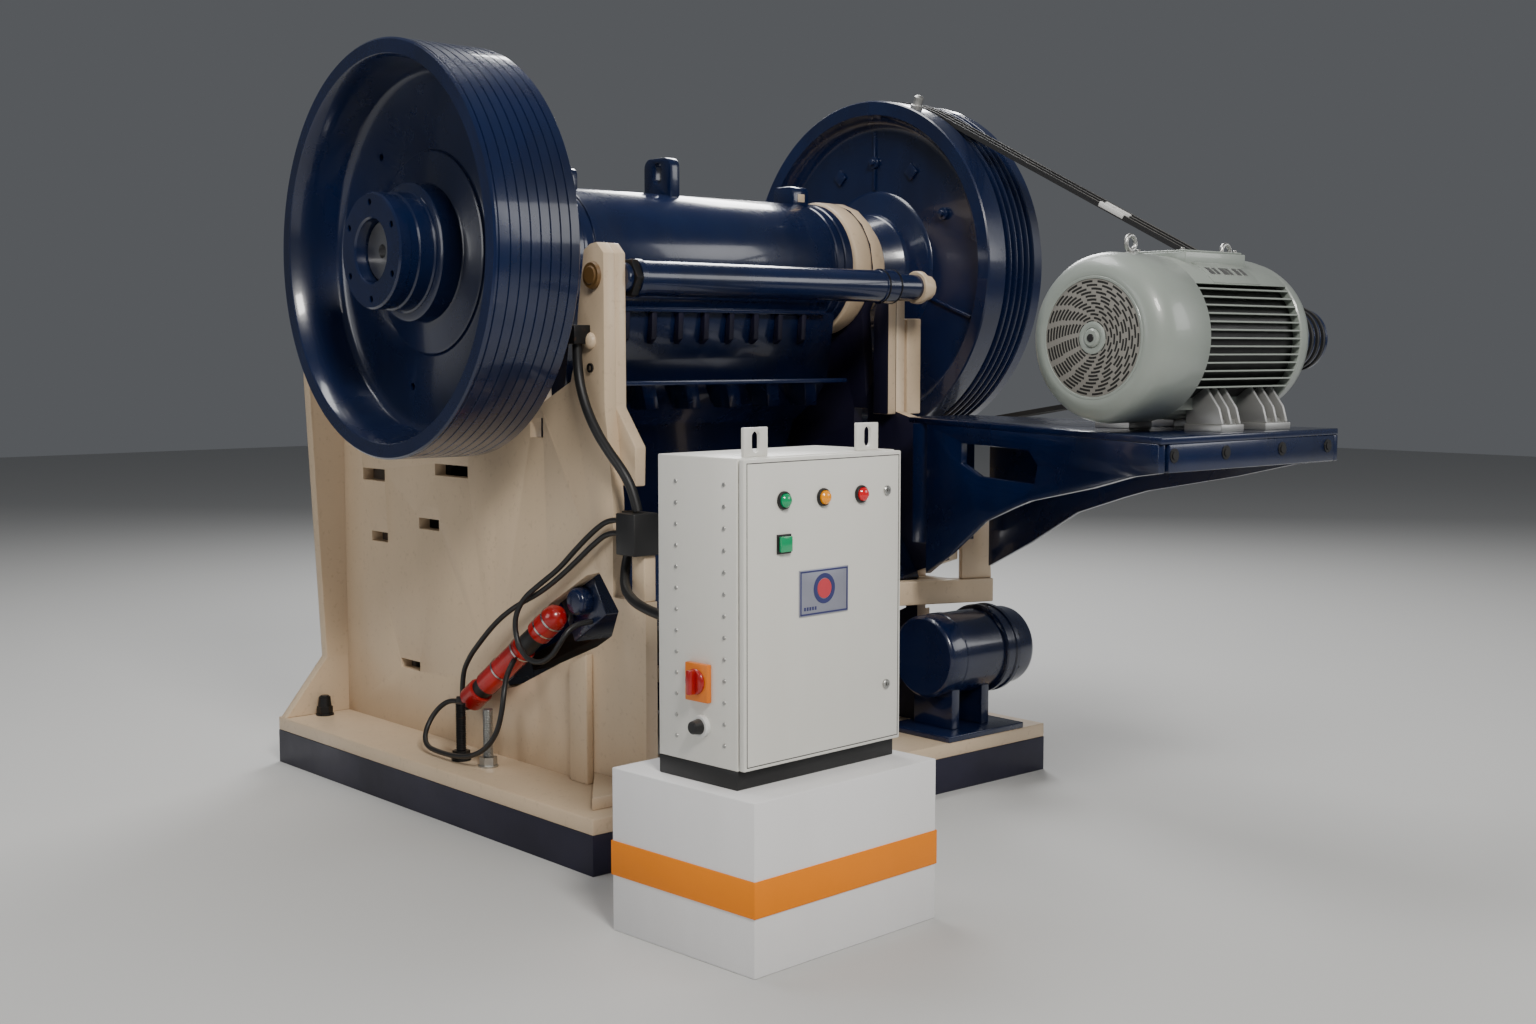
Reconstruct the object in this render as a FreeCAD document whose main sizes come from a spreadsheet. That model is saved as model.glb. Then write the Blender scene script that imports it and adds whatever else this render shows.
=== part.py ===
import FreeCAD, Part
import math
import os
import re

import Sketcher

V = FreeCAD.Vector
doc = FreeCAD.newDocument("JawCrusher")

# ---------------------------------------------------------------- sizes (mm)
# x: across the machine, + towards the belt side.  y: + towards the fixed jaw.
# z: up from the ground.  The crusher shaft lies along x at y = 0.
SIZES = [
    ("base_half_x", 1045, "half width of skid and base flange"),
    ("base_rear", 860, "skid behind the shaft axis"),
    ("base_front", 1170, "skid ahead of the shaft axis"),
    ("skid_tall", 125, "skid height"),
    ("flange_thick", 50, "base flange thickness"),
    ("outlet_half_x", 640, "half width of the discharge opening"),
    ("outlet_rear", 300, "discharge opening behind the axis"),
    ("outlet_front", 1000, "discharge opening ahead of the axis"),
    ("anchor_x", 960, "anchor hole distance from the middle"),
    ("anchor_y", 450, "anchor hole distance from the axis"),
    ("anchor_rad", 21, "anchor hole radius"),
    ("shaft_z", 1885, "shaft axis height"),
    ("shaft_rad", 100, "shaft radius"),
    ("shaft_half", 1225, "shaft half length"),
    ("plate_in", 730, "side plate inner face"),
    ("plate_thick", 45, "side plate thickness"),
    ("plate_rear_low", 500, "side plate rear edge, foot"),
    ("plate_rear_mid", 600, "side plate rear edge, middle"),
    ("plate_front", 1115, "side plate front edge"),
    ("plate_top", 1850, "side plate top edge ahead of the bearing"),
    ("foot_rear", 775, "left plate rear edge below the step"),
    ("foot_top", 794, "height of the step in the left plate's rear edge"),
    ("post_rear", 571, "post rear edge"),
    ("post_top", 1908, "post top"),
    ("post_set", 380, "right post rear edge, set back behind the tie tube"),
    ("boss_rad", 255, "bearing boss radius"),
    ("ring_rad", 205, "bearing cover ring radius"),
    ("ring_out", 845, "bearing cover ring outer face"),
    ("housing_bore", 112, "bearing housing bore radius"),
    ("barrel_half", 632, "pitman barrel half length"),
    ("barrel_rad", 235, "pitman barrel radius"),
    ("pitman_half", 610, "pitman body half width"),
    ("jaw_half", 630, "jaw plate half width"),
    ("wall_thick", 45, "front wall thickness"),
    ("liner_thick", 75, "jaw plate thickness"),
    ("cheek_thick", 85, "cheek plate thickness"),
    ("wheel_rad", 665, "flywheel radius"),
    ("rim_thick", 53, "flywheel rim thickness"),
    ("wheel_out", 1235, "flywheel outer face"),
    ("wheel_in", 927, "flywheel inner face"),
    ("web_out", 1045, "flywheel web outer face"),
    ("web_thick", 50, "flywheel web thickness"),
    ("hub_rad", 185, "flywheel hub radius"),
    ("hub_out", 1268, "flywheel hub outer face"),
    ("hub_in", 857, "flywheel hub inner face"),
    ("step_rad", 222, "flywheel hub step radius"),
    ("boss_disc_rad", 330, "flywheel boss disc radius"),
    ("hub_hole_pcd", 306, "hub hole circle diameter"),
    ("hub_hole_rad", 11, "hub hole radius"),
    ("groove_pitch", 34, "belt groove pitch"),
    ("groove_count", 5, "belt grooves in the driven wheel"),
    ("groove_deep", 22, "belt groove depth"),
    ("groove_first", 1172, "middle of the outermost belt groove"),
    ("line_pitch", 36, "pitch of the shallow lines in the plain wheel"),
    ("line_count", 7, "shallow lines in the plain wheel"),
    ("line_first", 1181, "middle of the outermost shallow line"),
    ("belt_count", 3, "belts fitted, in the innermost grooves"),
    ("motor_y", 1850, "motor axis behind the shaft axis"),
    ("motor_z", 1606, "motor axis height"),
    ("motor_rad", 250, "motor fan cover radius"),
    ("frame_rad", 226, "motor frame radius without fins"),
    ("motor_fan_x", 30, "motor fan end"),
    ("motor_cover_len", 235, "motor fan cover length"),
    ("motor_end_x", 835, "motor drive end"),
    ("motor_shaft_rad", 32, "motor shaft radius"),
    ("pulley_rad", 100, "motor pulley radius"),
    ("pulley_in", 1005, "motor pulley inner face"),
    ("pulley_out", 1135, "motor pulley outer face"),
    ("table_top", 1330, "motor table top height"),
    ("table_thick", 20, "motor table plate thickness"),
    ("table_rear", 2150, "motor table rear edge"),
    ("table_front", 605, "motor table front edge"),
    ("table_edge", 100, "motor table edge height"),
    ("table_left_x", -41, "table rear left corner"),
    ("table_right_x", 872, "table right edge"),
    ("table_near_x", 567, "table front left corner"),
    ("web_plate", 22, "table web thickness"),
    ("tube_y", 540, "tie tube behind the axis"),
    ("tube_z", 1800, "tie tube height"),
    ("tube_rad", 57, "tie tube radius"),
    ("drum_y", 686, "pump motor axis behind the shaft axis"),
    ("drum_z", 460, "pump motor axis height"),
    ("drum_rad", 150, "pump motor radius"),
    ("ped_x", -1262, "pedestal corner x"),
    ("ped_y", -1839, "pedestal corner y"),
    ("ped_turn", 3.1, "pedestal turn, degrees"),
    ("ped_wide", 700, "pedestal width"),
    ("ped_deep", 550, "pedestal depth"),
    ("ped_tall", 450, "pedestal height"),
    ("band_low", 155, "pedestal band lower edge"),
    ("band_tall", 95, "pedestal band height"),
    ("cab_x", 56, "cabinet from pedestal corner, across"),
    ("cab_y", 120, "cabinet from pedestal corner, deep"),
    ("cab_wide", 600, "cabinet width"),
    ("cab_deep", 300, "cabinet depth"),
    ("cab_tall", 800, "cabinet height"),
    ("plinth_tall", 50, "cabinet plinth height"),
    ("door_thick", 20, "cabinet door thickness"),
    ("slot_turn", 32, "slope of the toggle slot, degrees"),
    ("eye_turn", 22, "place of the lifting eye round the rim, degrees"),
]

sheet = doc.addObject("Spreadsheet::Sheet", "Sizes")
for row, (name, value, note) in enumerate(SIZES, 1):
    sheet.set("A%d" % row, note)
    sheet.set("B%d" % row, repr(value))
    sheet.setAlias("B%d" % row, name)
doc.recompute()

NAMES = {name for name, _, _ in SIZES}
WORD = re.compile(r"[A-Za-z_][A-Za-z_0-9]*")


def ex(text):
    """Bare size names become references to the sheet."""
    return WORD.sub(lambda m: "Sizes." + m[0] if m[0] in NAMES else m[0], str(text))


def val(text):
    return float(sheet.evalExpression(WORD.sub(lambda m: m[0], str(text))))


PARTS = []


def keep(obj, label):
    obj.Label = label
    PARTS.append(obj)
    return obj


def new_body(label):
    return keep(doc.addObject("PartDesign::Body", label), label)


def origin(body, role):
    return [f for f in body.Origin.OriginFeatures if f.Role == role][0]


def polygon(body, role, points, offset="0"):
    """Closed sketch whose corners follow size expressions."""
    sk = body.newObject("Sketcher::SketchObject", body.Name + "Sketch")
    sk.AttachmentSupport = [(origin(body, role), "")]
    sk.MapMode = "FlatFace"
    if offset != "0":
        sk.setExpression("AttachmentOffset.Base.z", ex(offset))
    at = [V(val(a), val(b), 0) for a, b in points]
    count = len(at)
    for i in range(count):
        sk.addGeometry(Part.LineSegment(at[i], at[(i + 1) % count]), False)
    for i in range(count):
        sk.addConstraint(Sketcher.Constraint("Coincident", i, 2, (i + 1) % count, 1))
    for i, (a, b) in enumerate(points):
        k = sk.addConstraint(Sketcher.Constraint("DistanceX", -1, 1, i, 1, at[i].x))
        sk.setExpression("Constraints[%d]" % k, ex(a))
        k = sk.addConstraint(Sketcher.Constraint("DistanceY", -1, 1, i, 1, at[i].y))
        sk.setExpression("Constraints[%d]" % k, ex(b))
    return sk


def circles(body, role, spots, offset="0"):
    """Sketch of circles (u, v, radius), each following size expressions."""
    sk = body.newObject("Sketcher::SketchObject", body.Name + "Circles")
    sk.AttachmentSupport = [(origin(body, role), "")]
    sk.MapMode = "FlatFace"
    if offset != "0":
        sk.setExpression("AttachmentOffset.Base.z", ex(offset))
    for i, (u, v, r) in enumerate(spots):
        sk.addGeometry(Part.Circle(V(val(u), val(v), 0), V(0, 0, 1), val(r)), False)
        for kind, size in (("DistanceX", u), ("DistanceY", v)):
            k = sk.addConstraint(Sketcher.Constraint(kind, -1, 1, i, 3, val(size)))
            sk.setExpression("Constraints[%d]" % k, ex(size))
        k = sk.addConstraint(Sketcher.Constraint("Radius", i, val(r)))
        sk.setExpression("Constraints[%d]" % k, ex(r))
    return sk


def pad(body, sketch, length, back=False, mid=False):
    f = body.newObject("PartDesign::Pad", body.Name + "Pad")
    f.Profile = sketch
    f.setExpression("Length", ex(length))
    f.Reversed = back
    f.Midplane = mid
    body.Tip = f
    return f


def pocket(body, sketch, length=None, back=False, mid=True):
    f = body.newObject("PartDesign::Pocket", body.Name + "Pocket")
    f.Profile = sketch
    if length is None:
        f.Type = "ThroughAll"
        f.Midplane = mid
    else:
        f.setExpression("Length", ex(length))
        f.Reversed = back
    body.Tip = f
    return f


def spin(body, sketch, cut=False):
    """Turned piece: the sketch turns about the x axis of its plane."""
    f = body.newObject("PartDesign::Groove" if cut else "PartDesign::Revolution",
                       body.Name + "Turned")
    f.Profile = sketch
    f.ReferenceAxis = (sketch, ["H_Axis"])
    f.Angle = 360
    body.Tip = f
    return f


def pair(label, members):
    """Like pieces left and right under one name."""
    for m in members:
        PARTS.remove(m)
        m.Label = m.Label + "_piece"
    c = doc.addObject("Part::Compound", label)
    c.Links = members
    return keep(c, label)


def place(body, x="0", y="0", z="0", turn=None, axis=V(0, 0, 1)):
    """Expression-driven position, with an optional turn in degrees."""
    if turn is not None:
        body.Placement = FreeCAD.Placement(V(0, 0, 0), FreeCAD.Rotation(axis, val(turn)))
        body.setExpression("Placement.Rotation.Angle", ex("(%s) * 1deg" % turn))
    for key, size in zip("xyz", (x, y, z)):
        body.setExpression("Placement.Base." + key, ex(size))


def plate_xy(label, points, low, thick):
    b = new_body(label)
    pad(b, polygon(b, "XY_Plane", points, low), thick)
    return b


def plate_yz(label, points, start, thick):
    b = new_body(label)
    pad(b, polygon(b, "YZ_Plane", points, start), thick)
    return b


def plate_xz(label, points, start, thick):
    """start is the face towards -y; the plate grows towards +y."""
    b = new_body(label)
    pad(b, polygon(b, "XZ_Plane", points, "-(%s)" % start), thick, back=True)
    return b


def rect(u0, v0, u1, v1):
    return [(u0, v0), (u1, v0), (u1, v1), (u0, v1)]


def turned(label, profile):
    """Turned piece about x; profile is (x, radius) pairs, closed."""
    b = new_body(label)
    spin(b, polygon(b, "XZ_Plane", profile))
    return b


def repeat(body, feature, name, step, count, backwards):
    """Repeats a feature along x."""
    rep = body.newObject("PartDesign::LinearPattern", name)
    rep.Originals = [feature]
    rep.Direction = (origin(body, "X_Axis"), [""])
    rep.Reversed = backwards
    rep.setExpression("Length", ex("%s * (%s - 1)" % (step, count)))
    rep.setExpression("Occurrences", ex(count))
    body.Tip = rep


def boxes(label, rows, group=False):
    """Several separate blocks of one kind under one name."""
    solids = []
    for i, (x0, y0, z0, x1, y1, z1) in enumerate(rows):
        f = doc.addObject("Part::Box", "%s_%d" % (label, i))
        for key, a, c in (("x", x0, x1), ("y", y0, y1), ("z", z0, z1)):
            f.setExpression("Placement.Base." + key, ex(a))
        f.setExpression("Length", ex("(%s) - (%s)" % (x1, x0)))
        f.setExpression("Width", ex("(%s) - (%s)" % (y1, y0)))
        f.setExpression("Height", ex("(%s) - (%s)" % (z1, z0)))
        solids.append(f)
    if len(solids) == 1 and not group:
        return keep(solids[0], label)
    c = doc.addObject("Part::Compound", label)
    c.Links = solids
    return keep(c, label)


def scooped(label, rows, x0, x1, y, z, rad):
    """Blocks shaped to sit on a round body lying along x."""
    blocks = boxes(label + "_blocks", rows)
    PARTS.remove(blocks)
    tool = doc.addObject("Part::Cylinder", label + "_scoop")
    tool.Placement = FreeCAD.Placement(V(0, 0, 0), FreeCAD.Rotation(V(0, 1, 0), 90))
    for key, size in zip("xyz", (x0, y, z)):
        tool.setExpression("Placement.Base." + key, ex(size))
    tool.setExpression("Radius", ex(rad))
    tool.setExpression("Height", ex("(%s) - (%s)" % (x1, x0)))
    cut = doc.addObject("Part::Cut", label)
    cut.Base, cut.Tool = blocks, tool
    return keep(cut, label)


# ------------------------------------------------------------- skid and base
skid = plate_xy("skid_frame", rect("-base_half_x", "-base_rear", "base_half_x", "base_front"),
                "0", "skid_tall")
pocket(skid, polygon(skid, "XY_Plane",
                     rect("-outlet_half_x", "-outlet_rear", "outlet_half_x", "outlet_front")))
pocket(skid, circles(skid, "XY_Plane", [(sx + "anchor_x", sy + "anchor_y", "anchor_rad")
                                        for sx in ("", "-") for sy in ("", "-")]))

flange = plate_xy("base_flange",
                  rect("-base_half_x", "-base_rear", "base_half_x", "base_front"),
                  "skid_tall", "flange_thick")
pocket(flange, polygon(flange, "XY_Plane",
                       rect("-outlet_half_x", "-outlet_rear", "outlet_half_x", "outlet_front")))
BASE = "skid_tall + flange_thick"

# --------------------------------------------------------------- side plates
SLOTS = [(888, 1105, 163, 45), (341, 1146, 217, 42), (497, 945, 137, 40),
         (851, 873, 118, 37), (-193, 1316, 74, 66), (643, 414, 135, 34)]
BIG_SLOT = [(-535, 865), (-467, 850), (-257, 735), (-154, 640), (60, 480), (85, 432),
            (40, 405), (-60, 432), (-311, 543), (-520, 625), (-599, 669), (-636, 753)]


LEFT_REAR = [("-post_rear", "1400"), ("-plate_rear_mid - 11", "1100"),
             ("-plate_rear_mid - 7", "foot_top"), ("-foot_rear", "foot_top"),
             ("-foot_rear", BASE)]
RIGHT_REAR = [("-post_rear", "1290"), ("-plate_rear_mid - 60", "1130"),
              ("-plate_rear_mid - 60", "800"), ("-plate_rear_low", "745"),
              ("-plate_rear_low", BASE)]
RIGHT_SLOT = [(-440, 800), (-257, 735), (-154, 640), (60, 480), (85, 432), (40, 405),
              (-60, 432), (-311, 543), (-440, 600)]


LEFT_POST = [("-221", "1395"), ("-389", "1470"), ("-421", "1565"), ("-432", "1689"),
             ("-467", "post_top - 22"), ("-500", "post_top - 4"), ("-535", "post_top"),
             ("-post_rear", "post_top - 34")]
RIGHT_POST = [("-221", "1395"), ("-post_set + 112", "1470"), ("-post_set + 104", "1690"),
              ("-post_set + 78", "1760"), ("-post_set + 40", "tube_z"),
              ("-post_set", "tube_z - 10"), ("-post_set", "1340")]


def side_outline(post, rear):
    pts = [("plate_front", BASE), ("plate_front", "plate_top"),
           ("boss_rad + 60", "plate_top")]
    for a in range(-20, 221, 20):
        pts.append(("boss_rad * %.5f" % math.cos(math.radians(a)),
                    "shaft_z + boss_rad * %.5f" % math.sin(math.radians(a))))
    return pts + post + rear


stiffeners, ribs, housings, cheeks = [], [], [], []


for side, sign in (("left", "-"), ("right", "")):
    start = "-plate_in - plate_thick" if sign else "plate_in"
    b = plate_yz("side_plate_" + side, side_outline(LEFT_POST, LEFT_REAR) if sign
                 else side_outline(RIGHT_POST, RIGHT_REAR), start, "plate_thick")
    for y, z, w, t in SLOTS:
        pocket(b, polygon(b, "YZ_Plane", rect(y - w / 2, z - t / 2, y + w / 2, z + t / 2)))
    pocket(b, polygon(b, "YZ_Plane", [(str(y), str(z))
                                      for y, z in (BIG_SLOT if sign else RIGHT_SLOT)]))
    pocket(b, circles(b, "YZ_Plane", [("0", "shaft_z", "ring_rad")]))

    # post stiffener on the inner face: flared foot on the left, tube lug on the right
    post = [("-445", "1145"), ("-445", "1689")] + LEFT_POST[4:] + [
        ("-post_rear", "1390"), ("-670", "1268"), ("-666", "1145")]
    if not sign:
        post = [("-post_set + 80", "table_top"), ("-post_set + 80", "1690"),
                ("-post_set + 40", "tube_z + 46")]
        for a in range(0, 181, 30):
            post.append(("-tube_y - 46 * %.5f" % math.sin(math.radians(a)),
                         "tube_z + 46 * %.5f" % math.cos(math.radians(a))))
        post += [("-post_set", "tube_z - 46"), ("-post_set", "table_top")]
    stiffeners.append(plate_yz("post_stiffener_" + side, post,
                               "-plate_in" if sign else "plate_in - 42", "42"))

    # upright rib on the outer face, under the toggle slot
    rib = [("-497", BASE), ("-403", BASE), ("-403", "560"), ("-497", "600")]
    ribs.append(plate_yz("side_rib_" + side, rib, "-plate_in - plate_thick - 28" if sign
                         else "plate_in + plate_thick", "28"))

    # bearing housing: thick boss inside the plate, slimmer cover ring outside
    c = lambda t: ("-(%s)" % t) if sign else t
    turned_pts = [("%s" % c("barrel_half + 8"), "housing_bore"),
                  (c("barrel_half + 8"), "boss_rad"), (c("plate_in"), "boss_rad"),
                  (c("plate_in"), "ring_rad"), (c("ring_out"), "ring_rad"),
                  (c("ring_out"), "housing_bore")]
    h = turned("bearing_housing_" + side, turned_pts)
    place(h, z="shaft_z")
    housings.append(h)

    # cheek plate inside the crushing chamber
    cheek = [("700", "330"), ("plate_front - liner_thick - 6", "330"),
             ("plate_front - liner_thick - 6", "plate_top - 20"), ("470", "plate_top - 20")]
    cheeks.append(plate_yz("cheek_plate_" + side, cheek, "-plate_in" if sign
                           else "plate_in - cheek_thick", "cheek_thick"))

    # flywheel
    prof = [("hub_in", "shaft_rad"), ("hub_in", "hub_rad"), ("wheel_in + 30", "step_rad"),
            ("web_out - web_thick", "boss_disc_rad - 20"),
            ("web_out - web_thick", "wheel_rad - rim_thick - 14"),
            ("wheel_in", "wheel_rad - rim_thick"), ("wheel_in", "wheel_rad"),
            ("wheel_out", "wheel_rad"), ("wheel_out", "wheel_rad - rim_thick"),
            ("web_out + 10", "wheel_rad - rim_thick - 22"),
            ("web_out", "wheel_rad - rim_thick - 40"), ("web_out", "boss_disc_rad"),
            ("web_out + 16", "boss_disc_rad - 4"), ("web_out + 20", "step_rad"),
            ("web_out + 95", "step_rad"), ("web_out + 100", "hub_rad"),
            ("hub_out", "hub_rad"), ("hub_out", "shaft_rad")]
    w = turned("flywheel_" + side, [(c(x), r) for x, r in prof])
    place(w, z="shaft_z")
    if sign:
        first, step, count, cutter = "line_first", "line_pitch", "line_count", [
            (c("line_first - 4"), "wheel_rad + 5"), (c("line_first + 4"), "wheel_rad + 5"),
            (c("line_first + 2"), "wheel_rad - 6"), (c("line_first - 2"), "wheel_rad - 6")]
    else:
        first, step, count, cutter = "groove_first", "groove_pitch", "groove_count", [
            ("groove_first - 15", "wheel_rad + 5"), ("groove_first + 15", "wheel_rad + 5"),
            ("groove_first + 10", "wheel_rad - groove_deep"),
            ("groove_first - 10", "wheel_rad - groove_deep")]
    g = spin(w, polygon(w, "XZ_Plane", cutter), cut=True)
    repeat(w, g, "GroovePattern", step, count, not sign)
    spots = [("hub_hole_pcd / 2 * %.6f" % math.cos(math.radians(60 * i + 30)),
              "hub_hole_pcd / 2 * %.6f" % math.sin(math.radians(60 * i + 30)),
              "hub_hole_rad") for i in range(6)]
    pocket(w, circles(w, "YZ_Plane", spots, c("hub_out")), "40", back=bool(sign))

pair("post_stiffeners", stiffeners)
boxes("post_rib", [("plate_in + plate_thick", "-post_set + 80", "table_top",
                    "plate_in + plate_thick + 15", "-post_set + 118", "1690"),
                   ("plate_in + plate_thick + 15", "-post_set", "table_top",
                    "plate_in + plate_thick + 90", "-post_set + 118", "1690")])
pair("side_ribs", ribs)
pair("bearing_housings", housings)
pair("cheek_plates", cheeks)
plate_xy("rear_foot", [("-plate_in - plate_thick", "-plate_rear_low"),
                       ("-base_half_x + 60", "-foot_rear"),
                       ("-plate_in - plate_thick", "-foot_rear")], BASE, "40")

# ------------------------------------------------------------- front and jaws
wall = [("-(base_half_x - 5)", BASE), ("base_half_x - 5", BASE), ("865", "392"),
        ("915", "1455"), ("915", "plate_top"), ("-915", "plate_top"), ("-915", "1455"),
        ("-865", "392")]
plate_xz("front_wall", wall, "plate_front", "wall_thick")
fixed = rect("-jaw_half", "350", "jaw_half", "plate_top - 10")
plate_xz("fixed_jaw_plate", fixed, "plate_front - liner_thick", "liner_thick")

# front face of the swing jaw runs from (390, 1800) down to (865, 330)
face = [("390", "1800"), ("865", "330")]
pit = new_body("pitman")
pad(pit, polygon(pit, "YZ_Plane", [
    ("-170", "1720"), ("-125", "1457"), ("-60", "1376"), ("60", "1300"), ("230", "900"),
    ("380", "560"), ("430", "330"), ("790", "300")] + face[::-1] + [("200", "1990")]),
    "2 * pitman_half", mid=True)
pad(pit, circles(pit, "YZ_Plane", [("0", "shaft_z", "barrel_rad")]), "2 * barrel_half", mid=True)
pocket(pit, circles(pit, "YZ_Plane", [("0", "shaft_z", "housing_bore")]))
plate_yz("swing_jaw_plate",
         face + [("865 + liner_thick * 0.95", "330 + liner_thick * 0.31"),
                 ("390 + liner_thick * 0.95", "1800 + liner_thick * 0.31")],
         "-jaw_half", "2 * jaw_half")

# lifting lugs on the barrel
lugs = scooped("lifting_lugs", [
    ("-112", "-75", "shaft_z + barrel_rad - 20", "-68", "75", "shaft_z + barrel_rad + 135"),
    ("500", "-55", "shaft_z + barrel_rad - 20", "580", "55", "shaft_z + barrel_rad + 70"),
    ("-580", "-55", "shaft_z + barrel_rad - 20", "-500", "55", "shaft_z + barrel_rad + 70")],
    "-barrel_half", "barrel_half", "0", "shaft_z", "barrel_rad + 0.3")

shaft = turned("eccentric_shaft", [("-shaft_half", "0"), ("-shaft_half", "shaft_rad"),
                                   ("shaft_half", "shaft_rad"), ("shaft_half", "0")])
place(shaft, z="shaft_z")

# lifting eye screwed into the rim of the driven wheel
eye = turned("wheel_eye", [("wheel_rad + 0.3", "0"), ("wheel_rad + 0.3", "24"), ("wheel_rad + 10", "24"),
                           ("wheel_rad + 14", "19"), ("wheel_rad + 40", "19"),
                           ("wheel_rad + 52", "10"), ("wheel_rad + 52", "0")])
tilt = math.radians(val("eye_turn"))
eye.Placement = FreeCAD.Placement(
    V(val("wheel_in") + 40, 0, val("shaft_z")),
    FreeCAD.Rotation(V(1, 0, 0), V(0, -math.sin(tilt), math.cos(tilt))))

# ---------------------------------------------------------------- tie tube
tie = turned("tie_tube", [
    ("-plate_in + 42", "0"), ("-plate_in + 42", "48"), ("-640", "48"), ("-640", "tube_rad + 5"),
    ("-618", "tube_rad + 5"), ("-618", "tube_rad"), ("465", "tube_rad"), ("465", "tube_rad + 4"),
    ("542", "tube_rad + 4"), ("542", "46"), ("662", "46"), ("662", "60"),
    ("plate_in - 42", "60"), ("plate_in - 42", "0")])
place(tie, y="-tube_y", z="tube_z")

# ------------------------------------------------------ rear beam and toggle
beam = new_body("toggle_beam")
pad(beam, polygon(beam, "YZ_Plane", rect("-105", "-100", "105", "100")), "2 * plate_in",
    mid=True)
place(beam, y="-370", z="752", turn="-slot_turn", axis=V(1, 0, 0))
plate_yz("toggle_plate", [("-262.8", "725.2"), ("-298.8", "667.5"), ("372", "385"), ("385", "440")],
         "-420", "840")

# ------------------------------------------------------------- motor table
plate_xy("motor_table", [("table_near_x", "-table_front"), ("table_left_x", "-table_rear"),
                         ("table_right_x", "-table_rear"), ("table_right_x", "-table_front")],
         "table_top - table_thick", "table_thick")
run = "sqrt((table_near_x - table_left_x)^2 + (table_rear - table_front)^2)"
swing = "-atan((table_near_x - table_left_x) / (table_rear - table_front)) / 1deg"
WEB = [(150, 1310), (150, 775), (360, 876), (591, 1002), (806, 1067), (909, 1095),
       (1287, 1163), (1507, 1211)]


def web_points(scale=1.0):
    pts = [("-%.1f" % (s * scale), str(z)) for s, z in WEB]
    pts[0] = (pts[0][0], "table_top - table_thick")
    return pts


left = new_body("table_web_left")
pad(left, polygon(left, "YZ_Plane", web_points() + [
    ("-(%s) + 12" % run, "table_top - table_edge"),
    ("-(%s) + 12" % run, "table_top - table_thick")]),
    "web_plate")
pocket(left, polygon(left, "YZ_Plane", [("-430", "1255"), ("-900", "1255"), ("-960", "1210"),
                                        ("-940", "1150"), ("-560", "1150"), ("-430", "1185")]))
place(left, x="table_near_x", y="-table_front", turn=swing)
right = plate_yz("table_web_right", [("-table_front - %.1f" % (s * 0.93), str(z))
                                     for s, z in WEB] + [
    ("-table_rear", "table_top - table_edge"), ("-table_rear", "table_top - table_thick")],
    "table_right_x - web_plate", "web_plate")
plate_xz("table_rear_edge", rect("table_left_x + 40", "table_top - table_edge",
                                 "table_right_x - web_plate", "table_top - table_thick"),
         "-table_rear", "web_plate")
# upright closes the end of the table and stands behind the right side plate
boxes("table_upright", [("table_near_x - 37", "-plate_rear_mid - 140", "880",
                         "plate_in + plate_thick", "-plate_rear_mid - 60",
                         "table_top - table_thick")])
plate_xy("table_shelf", [("537", "-588"), ("894", "-733"), ("917", "-677"),
                         ("plate_in + plate_thick", "-619"),
                         ("plate_in + plate_thick", "-plate_rear_low"),
                         ("plate_in", "-plate_rear_low"), ("plate_in", "-601"),
                         ("560", "-532")], "638", "87")
gusset = plate_xz("table_gusset", [("262", "725"), ("385", "725"), ("372", "940"),
                                   ("345", "945"), ("262", "885")], "-15", "30")
place(gusset, x="548", y="-560", turn="-22.1")

# -------------------------------------------------------------- drive motor
mx = lambda t: "motor_fan_x + %s" % t
cover = turned("motor_fan_cover", [
    (mx(0), "0"), (mx(0), "motor_rad - 45"), (mx(12), "motor_rad - 22"), (mx(50), "motor_rad"),
    (mx("motor_cover_len"), "motor_rad"), (mx("motor_cover_len"), "0")])
place(cover, y="-motor_y", z="motor_z")
frame = turned("motor_frame", [
    (mx("motor_cover_len"), "0"), (mx("motor_cover_len"), "frame_rad"),
    ("motor_end_x - 95", "frame_rad"), ("motor_end_x - 95", "motor_rad - 6"),
    ("motor_end_x - 45", "motor_rad - 12"), ("motor_end_x", "motor_rad - 80"),
    ("motor_end_x", "motor_shaft_rad + 6"), ("motor_end_x - 60", "motor_shaft_rad + 6"),
    ("motor_end_x - 60", "0")])
place(frame, y="-motor_y", z="motor_z")
MOTOR = (mx("motor_cover_len"), "motor_end_x - 95", "-motor_y", "motor_z", "frame_rad + 0.3")
scooped("motor_feet", [
    (a, y0, "table_top", b_, y1, "motor_z - 130")
    for a, b_ in ((mx(330), mx(430)), (mx(560), mx(680)))
    for y0, y1 in (("-motor_y - 230", "-motor_y - 100"), ("-motor_y + 100", "-motor_y + 230"))],
    *MOTOR)
scooped("motor_terminal_box", [(mx(300), "-motor_y - 130", "motor_z + 170", mx(640),
                                "-motor_y + 130", "motor_z + 262")], *MOTOR)
pulley = turned("motor_pulley", [
    ("motor_end_x - 45", "0"), ("motor_end_x - 45", "motor_shaft_rad"),
    ("pulley_in", "motor_shaft_rad"), ("pulley_in", "pulley_rad"),
    ("pulley_out", "pulley_rad"), ("pulley_out", "0")])
place(pulley, y="-motor_y", z="motor_z")
BELT = "groove_first - groove_pitch * (groove_count - belt_count)"
cutter = [(BELT + " - 15", "pulley_rad + 5"), (BELT + " + 15", "pulley_rad + 5"),
          (BELT + " + 10", "pulley_rad - groove_deep"),
          (BELT + " - 10", "pulley_rad - groove_deep")]
repeat(pulley, spin(pulley, polygon(pulley, "XZ_Plane", cutter), cut=True), "PulleyPattern",
       "groove_pitch", "belt_count", True)


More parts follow.
